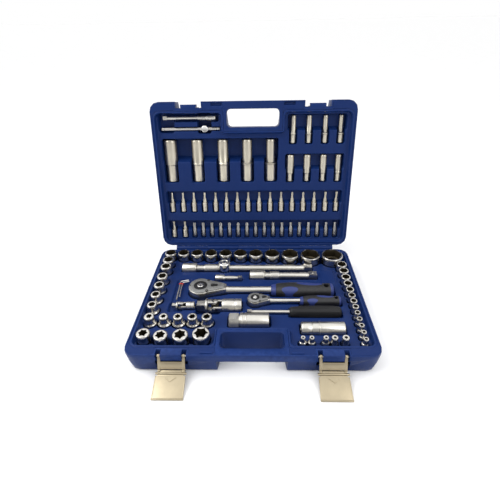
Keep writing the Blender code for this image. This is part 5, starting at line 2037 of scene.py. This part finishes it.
@dataclass
class CarryingCase:
    """Both halves of the case with their trays, and the hinge pin."""

    outer_x: float = 187.5
    half_x: float = 185.2
    half_y: float = 135.7
    corner: float = 15.0
    rim: float = 7.0
    front: float = -119.0
    back: float = 131.0
    field_z: float = 30.0
    lid_top: float = -0.3
    lid_field: float = -8.7
    sockets: StandingSockets = None
    deep: DeepSockets = None
    bits: ScrewBits = None

    def base_hollows(self) -> list[object]:
        """Shape a cup for each socket of the base and a trough for each tool.

        Returns:
            The hollows in order.
        """
        made = []
        for row in self.sockets.rows():
            floor = row.foot - SOCKET_SINK
            for socket in row.sockets:
                made.append(Well(socket.x, socket.y, max(socket.mouth, socket.drive) / 2 + row.room,
                                 floor))
            for first, second in zip(row.sockets, row.sockets[1:]):
                x0, x1 = sorted((first.x, second.x))
                y0, y1 = sorted((first.y, second.y))
                slim = min(first.mouth, second.mouth) * 0.26
                if x1 - x0 > y1 - y0:
                    y0, y1 = (y0 + y1) / 2 - slim, (y0 + y1) / 2 + slim
                else:
                    x0, x1 = (x0 + x1) / 2 - slim, (x0 + x1) / 2 + slim
                made.append(Trough(x0, x1, y0, y1, floor + 9.0, 1.0, 1.4))
        made += [
            Trough(-140, 114, 71.5, 92.5, 20.0, 3.0), Well(-56.6, 82, 14.6, 11.0, 1.6),
            Trough(-8.5, 120.5, 47.5, 68.5, 20.0, 3.0), Trough(-73, -19.5, 42, 55, 26.0, 3.0),
            Well(-93.6, 15, 23.6, 20.5, 1.8), Well(-93.6, 15, 11.5, 5.0),
            Wedge(-84, -46, 15, 19.4, 10.2, 20.5), Wedge(9, 31, -15, 12.6, 6.4, 25.5),
            Trough(-80, 35, 6.5, 23.5, 23.0, 3.0), Trough(28, 145.5, -1.5, 31.5, 16.5, 7.0, 2.6),
            Well(3.7, -15, 15.4, 25.5, 1.6), Trough(8, 84, -21.5, -8.5, 28.0, 3.0),
            Well(3.7, -15, 5.5, 17.0), Trough(77, 152, -26.5, -3.8, 21.5, 5.0, 2.2),
            Trough(-12, 64, -45.8, -36.2, 27.5, 2.0, 1.6), Trough(58, 148, -52.5, -29.5, 21.0, 4.0),
            Trough(-144, -118, -39.5, -14.5, 24.5, 4.0),
            Trough(-119, -96.5, -35.5, -18.5, 24.5, 4.0),
            Trough(-97.5, -54, -45, -6, 17.0, 5.0), Trough(-60, -17, -38.5, -12.5, 18.0, 4.0),
            Trough(-41, 29.5, -75, -46, 16.0, 5.0, 2.2), Trough(73, 147, -90, -66, 19.0, 4.0, 2.2),
            Trough(-142, -114, -16, 49, 27.0, 4.0, 1.6),
        ]
        return made

    def lid_hollows(self) -> list[object]:
        """Shape wide finger troughs for the lid, with a slot for each tool below them.

        Returns:
            The hollows in order.
        """
        d, b = self.deep, self.bits
        made = [Trough(-174, 48, 173, 217.5, -33.0, 5.0, 2.4, 11.0),
                Trough(63.5, 172.5, 229, 259, -23.5, 4.0, 2.0, 8.0),
                Trough(60.0, 172.5, 157.5, 188, -23.5, 4.0, 2.0, 8.0),
                Trough(-174, 174, 90.5, 117.5, -21.5, 4.0, 2.0, 7.0),
                Trough(-176, 176, 35.5, 57.5, -21.5, 4.0, 2.0, 7.0),
                Trough(-176, -146, 227.5, 263, -24.0, 5.0, 2.2),
                Trough(-104, -77, 226, 263, -31.0, 5.0, 2.4),
                Trough(-170.5, -63.5, 246.5, 261.5, -22.5, 3.0, 1.8),
                Trough(-174, -60.5, 230, 239, -19.0, 2.5, 1.6)]
        for row, drive, room, near, far, shape in (
                (d.half, d.half_drive, 2.0, d.half_span[0] - 2, 180, (-33.6, 4.0, 1.8)),
                (d.upper, d.quarter_drive, 1.9, d.upper_span[0] - 2, d.upper_span[0] + 28,
                 (-24.2, 3.0, 1.6)),
                (d.lower, d.quarter_drive, 1.9, d.lower_span[0] - 2, d.lower_span[0] + 28,
                 (-24.2, 3.0, 1.6))):
            for _, mouth, x in row:
                half = max(mouth, drive) / 2 + room
                made.append(Trough(x - half, x + half, near, far, *shape))
        for places, half, near, far, shape in (
                ((-STOP_X, STOP_X), 10.2, HINGE_Y + 130.0, HINGE_Y + 135.4, (-4.2, 0.6, 0.5)),
                (spread(b.socket_x, b.socket_count), 7.0, 73.5, 97, (-21.5, 2.5, 1.4)),
                (b.low_socket_x, 7.0, 18.5, 42, (-21.5, 2.5, 1.4)),
                (spread(b.bit_x, b.bit_count), 5.6, 18.5, 42, (-20.5, 2.0, 1.4))):
            made += [Trough(x - half, x + half, near, far, *shape) for x in places]
        return made

    def lining(self, half: str, middle: float, way: float, top: float, floor: float,
               hollows: Sequence[object], pads: Sequence[Trough], notch: Pair,
               place: Matrix) -> Tray:
        """State the tray of one half.

        Args:
            half: Which half, as in the names of its nodes.
            middle: Place of the half's middle across the case.
            way: Sign of the direction from the middle to the handle.
            top: Height of its border.
            floor: Height of its field.
            hollows: Hollows in order.
            pads: Raised pads.
            notch: Half width of a latch notch, and its distance from the middle.
            place: Turn and shift of the finished tray.

        Returns:
            The tray.
        """
        def across(half_x: float, near: float, far: float, field: float, corner: float,
                   x: float = 0.0) -> Trough:
            """Trough between two distances from the middle, towards the handle."""
            y0, y1 = sorted((middle + way * near, middle + way * far))
            return Trough(x - half_x, x + half_x, y0, y1, field, corner)

        notches = [across(54.3, 86.5, NOTCH_END, 0.0, 0.01)]
        notches += [across(notch[0], notch[1], NOTCH_END, 0.0, 0.01, x)
                    for x in (-LATCH_X, LATCH_X)]
        field = across(self.outer_x - self.rim, -self.back, -self.front, floor, 10.0)
        return Tray(half + "_lining", half + "_tray", half, half + "_plastic", top, field, hollows,
                    pads, notches, across(57.0, 83.8, NOTCH_END, 0.0, 5.0),
                    across(self.half_x, -self.half_y, self.half_y, 0.0, self.corner), place)

    def build(self, plastic: Finish, steel: Finish) -> None:
        """Make the case.

        Args:
            plastic: Plastic of both halves.
            steel: Finish of the hinge pin.
        """
        CaseHalf("base_outer", "base_shell", "base", "base_plastic").build(plastic)
        CaseHalf("lid_outer", "lid_shell", "lid", "lid_plastic").build(plastic)
        self.lining("base", 0.0, -1.0, RIM_Z, self.field_z, self.base_hollows(), BASE_PADS,
                    (25.3, 123.7), FLAT).build(plastic)
        self.lining("lid", HINGE_Y, 1.0, self.lid_top, self.lid_field, self.lid_hollows(), (),
                    (26.3, 121.7), LID).build(plastic)
        form = Form()
        for x in (-STOP_X, STOP_X):
            form.block((x - 9, -134.5, RIM_Z - 0.8), (x + 9, -131.5, RIM_Z + 1.2), 0.5)
        form.piece("rim_stops", plastic, "base", "base_plastic")
        lip = Form(LID).block((-HINGE_HALF, 4.45, -4.4), (HINGE_HALF, 6.6, -0.35), 0.3)
        knuckles = Form()
        width = 2 * HINGE_HALF / KNUCKLE_COUNT
        for index in range(KNUCKLE_COUNT):
            x0 = -HINGE_HALF + index * width + 0.15
            x1 = -HINGE_HALF + (index + 1) * width - 0.15
            if index % 2:
                lip.rod((x0, 0.0, 0.0), (x1, 0.0, 0.0), KNUCKLE_RADIUS, 40, 0.1)
                lip.block((x0, 0.5, -5.2), (x1, 7.0, -0.35), 0.2)
            else:
                knuckles.rod((x0, HINGE_Y, RIM_Z), (x1, HINGE_Y, RIM_Z), KNUCKLE_RADIUS, 40, 0.1)
                knuckles.block((x0, HINGE_Y - 7.0, RIM_Z - 5.2),
                               (x1, HINGE_Y - 0.5, RIM_Z - 0.35), 0.2)
        lip.piece("hinge_lip", plastic, "lid", "lid_plastic")
        knuckles.piece("base_knuckles", plastic, "base", "base_plastic")
        pin = Form().rod((-HINGE_HALF, HINGE_Y, RIM_Z), (HINGE_HALF, HINGE_Y, RIM_Z), 1.5, 20)
        pin.piece("hinge_rod", steel, "base", "pin_steel", ["hinge_pin"])


# ---------------------------------------------------------------- studio
@dataclass
class Studio:
    """Pale floor, soft lights and the camera."""

    eye: Point = (0.0119, -0.4805, 0.4430)
    down: float = 33.281
    yaw: float = -1.886
    roll: float = -1.164
    lens: float = 25.8
    sensor: float = 36.0
    sky_strength: float = 0.42

    def floor(self) -> None:
        """Lay the floor."""
        part = bmesh.new()
        bmesh.ops.create_grid(part, x_segments=2, y_segments=2, size=40.0)
        data = bpy.data.meshes.new("floor")
        part.to_mesh(data)
        part.free()
        shader = Shader("pale_floor")
        shader.dress(Base_Color=shader.mottle(6.0, 3.0, (0.93,) * 3, (0.91,) * 3), Roughness=0.75)
        data.materials.append(shader.material)
        obj = bpy.data.objects.new("floor", data)
        bpy.context.scene.collection.objects.link(obj)

    def lamp(self, name: str, place: Point, size: float, power: float) -> None:
        """Hang a square soft light that faces the case.

        Args:
            name: Name of the light.
            place: Where it hangs, in metres.
            size: Side of its face in metres.
            power: Power in watts.
        """
        data = bpy.data.lights.new(name, "AREA")
        data.size = size
        data.energy = power
        lamp = bpy.data.objects.new(name, data)
        lamp.location = place
        aim = Vector((0, 0, 0.05)) - Vector(place)
        lamp.rotation_euler = aim.to_track_quat("-Z", "Y").to_euler()
        bpy.context.scene.collection.objects.link(lamp)

    def sky(self) -> None:
        """Hang a very soft overhead light over the whole floor."""
        data = bpy.data.lights.new("overhead", "SUN")
        data.energy = 2.1
        data.angle = radians(100.0)
        lamp = bpy.data.objects.new("overhead", data)
        lamp.rotation_euler = (radians(-9.0), radians(-5.0), 0.0)
        bpy.context.scene.collection.objects.link(lamp)

    def camera(self) -> None:
        """Set up the camera."""
        p, y, q = radians(self.down), radians(self.yaw), radians(self.roll)
        ahead = Vector((sin(y) * cos(p), cos(y) * cos(p), -sin(p)))
        right = Vector((cos(y), -sin(y), 0.0))
        up = right.cross(ahead)
        across = cos(q) * right + sin(q) * up
        above = cos(q) * up - sin(q) * right
        data = bpy.data.cameras.new("camera")
        data.lens = self.lens
        data.sensor_width = self.sensor
        data.clip_start = 0.01
        camera = bpy.data.objects.new("camera", data)
        camera.matrix_world = (Matrix.Translation(self.eye)
                               @ Matrix((across, above, -ahead)).transposed().to_4x4())
        bpy.context.scene.collection.objects.link(camera)
        bpy.context.scene.camera = camera

    def build(self) -> None:
        """Make the studio."""
        self.floor()
        world = bpy.data.worlds.new("studio")
        world.use_nodes = True
        tree = world.node_tree
        way = tree.nodes.new("ShaderNodeTexCoord")
        split = tree.nodes.new("ShaderNodeSeparateXYZ")
        fade = tree.nodes.new("ShaderNodeMapRange")
        tree.links.new(way.outputs["Generated"], split.inputs[0])
        tree.links.new(split.outputs["Z"], fade.inputs["Value"])
        for name, value in (("From Min", 0.06), ("From Max", 0.30), ("To Min", 1.0),
                            ("To Max", self.sky_strength)):
            fade.inputs[name].default_value = value
        tree.nodes["Background"].inputs["Color"].default_value = (1.0, 1.0, 1.0, 1.0)
        tree.links.new(fade.outputs["Result"], tree.nodes["Background"].inputs["Strength"])
        bpy.context.scene.world = world
        bpy.context.scene.view_settings.view_transform = "Standard"
        self.lamp("key_light", (-1.10, -0.20, 1.1), 1.0, 12.0)
        self.lamp("fill_light", (0.9, -0.6, 0.9), 0.8, 5.0)
        self.sky()
        self.camera()


def main() -> None:
    """Build the whole set in order and report each piece."""
    logging.basicConfig(level=logging.INFO, format="%(name)s %(message)s")
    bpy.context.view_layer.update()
    chrome, bar = SATIN_CHROME.material(), BAR_CHROME.material()
    lid_chrome, bit = LID_CHROME.material(), BIT_STEEL.material()
    bright, nickel = BRIGHT_CHROME.material(), WARM_NICKEL.material()
    plate, dark = BLASTED_PLATE.material(), DARK_OXIDE.material()
    # Painted shade for the inside of openings.
    bore = BORE_PAINTED_SHADE.material()
    black, blue, red = BLACK_PLASTIC.material(), CASE_BLUE.material(), CLIP_RED.material()
    sockets, deep, bits = StandingSockets(), DeepSockets(), ScrewBits()
    CarryingCase(sockets=sockets, deep=deep, bits=bits).build(blue, bar)
    for side, x in (("left", -LATCH_X), ("right", LATCH_X)):
        DrawLatch(side, x).build(nickel, bar)
    sockets.build(chrome, bore)
    deep.build(lid_chrome, bore)
    bits.build(lid_chrome, bit)
    for long_bar in (
        ExtensionBar("long_extension", "extension_bar_250", "long_bar", (-138, 82, 31), 250.0,
                     HALF_SQUARE, 10.3, 6.7, 8.2, (42, 69)),
        ExtensionBar("middle_extension", "extension_bar_125", "middle_bar", (-6.7, 58, 31), 125.2,
                     HALF_SQUARE, 10.3, 6.7, 8.2, (37, 55)),
        ExtensionBar("short_extension", "extension_bar_50", "short_bar", (-71, 48.5, 33.4), 49.5,
                     QUARTER_SQUARE, 6.0, 3.6, 3.9, (20, 36)),
        ExtensionBar("lid_extension", "extension_bar_100", "lid_bar", (-69.5, 254, -15.2), 98.0,
                     QUARTER_SQUARE, 6.0, 3.6, 4.4, (18, 34), LID, True),
    ):
        long_bar.build(bar, bore)
    TeeParts().build(bar, bright)
    UniversalJoint("half", "half_joint", (-64.0, -25.5, 31.0), 12.0, HALF_SQUARE, 33.0,
                   4.5).build(bar, dark)
    UniversalJoint("quarter", "quarter_joint", (-119.5, -27.0, 32.5), 7.0, QUARTER_SQUARE, 13.5,
                   3.5).build(bar, dark)
    SparkSocket("big_plug_socket", "spark_plug_socket_21", "spark_21", (-38.3, -60.5, 29.8), 64.6,
                13.4, 21.0, HALF_SQUARE, (0.33, 0.43)).build(bar, black)
    SparkSocket("small_plug_socket", "spark_plug_socket_16", "spark_16", (75.6, -78.0, 31.0), 68.2,
                11.2, 16.0, HALF_SQUARE, (0.42,), False).build(bar, black)
    HexKeys().build(KEY_STEEL.material(), red)
    Spinner().build(bar, black)
    for ratchet in (
        Ratchet("half", -93.6, 15.0, 1.0, 43.0, 18.0, -48.0, 31.0, 142.0, 15.0, HALF_SQUARE),
        Ratchet("quarter", 3.7, -15.0, 0.63, 41.5, 12.5, 29.0, 79.5, 149.5, 10.2, QUARTER_SQUARE),
    ):
        grip = TwoToneGrip(ratchet.prefix + "_grip_rubber", ratchet.grip_x, ratchet.end_x,
                           ratchet.y, ratchet.grip_radius)
        ratchet.head(bar)
        ratchet.cover(plate, dark)
        ratchet.drive(bar, black, bright)
        ratchet.lever(black)
        ratchet.grip(grip.material())
    Studio().build()


if __name__ == "__main__":
    main()
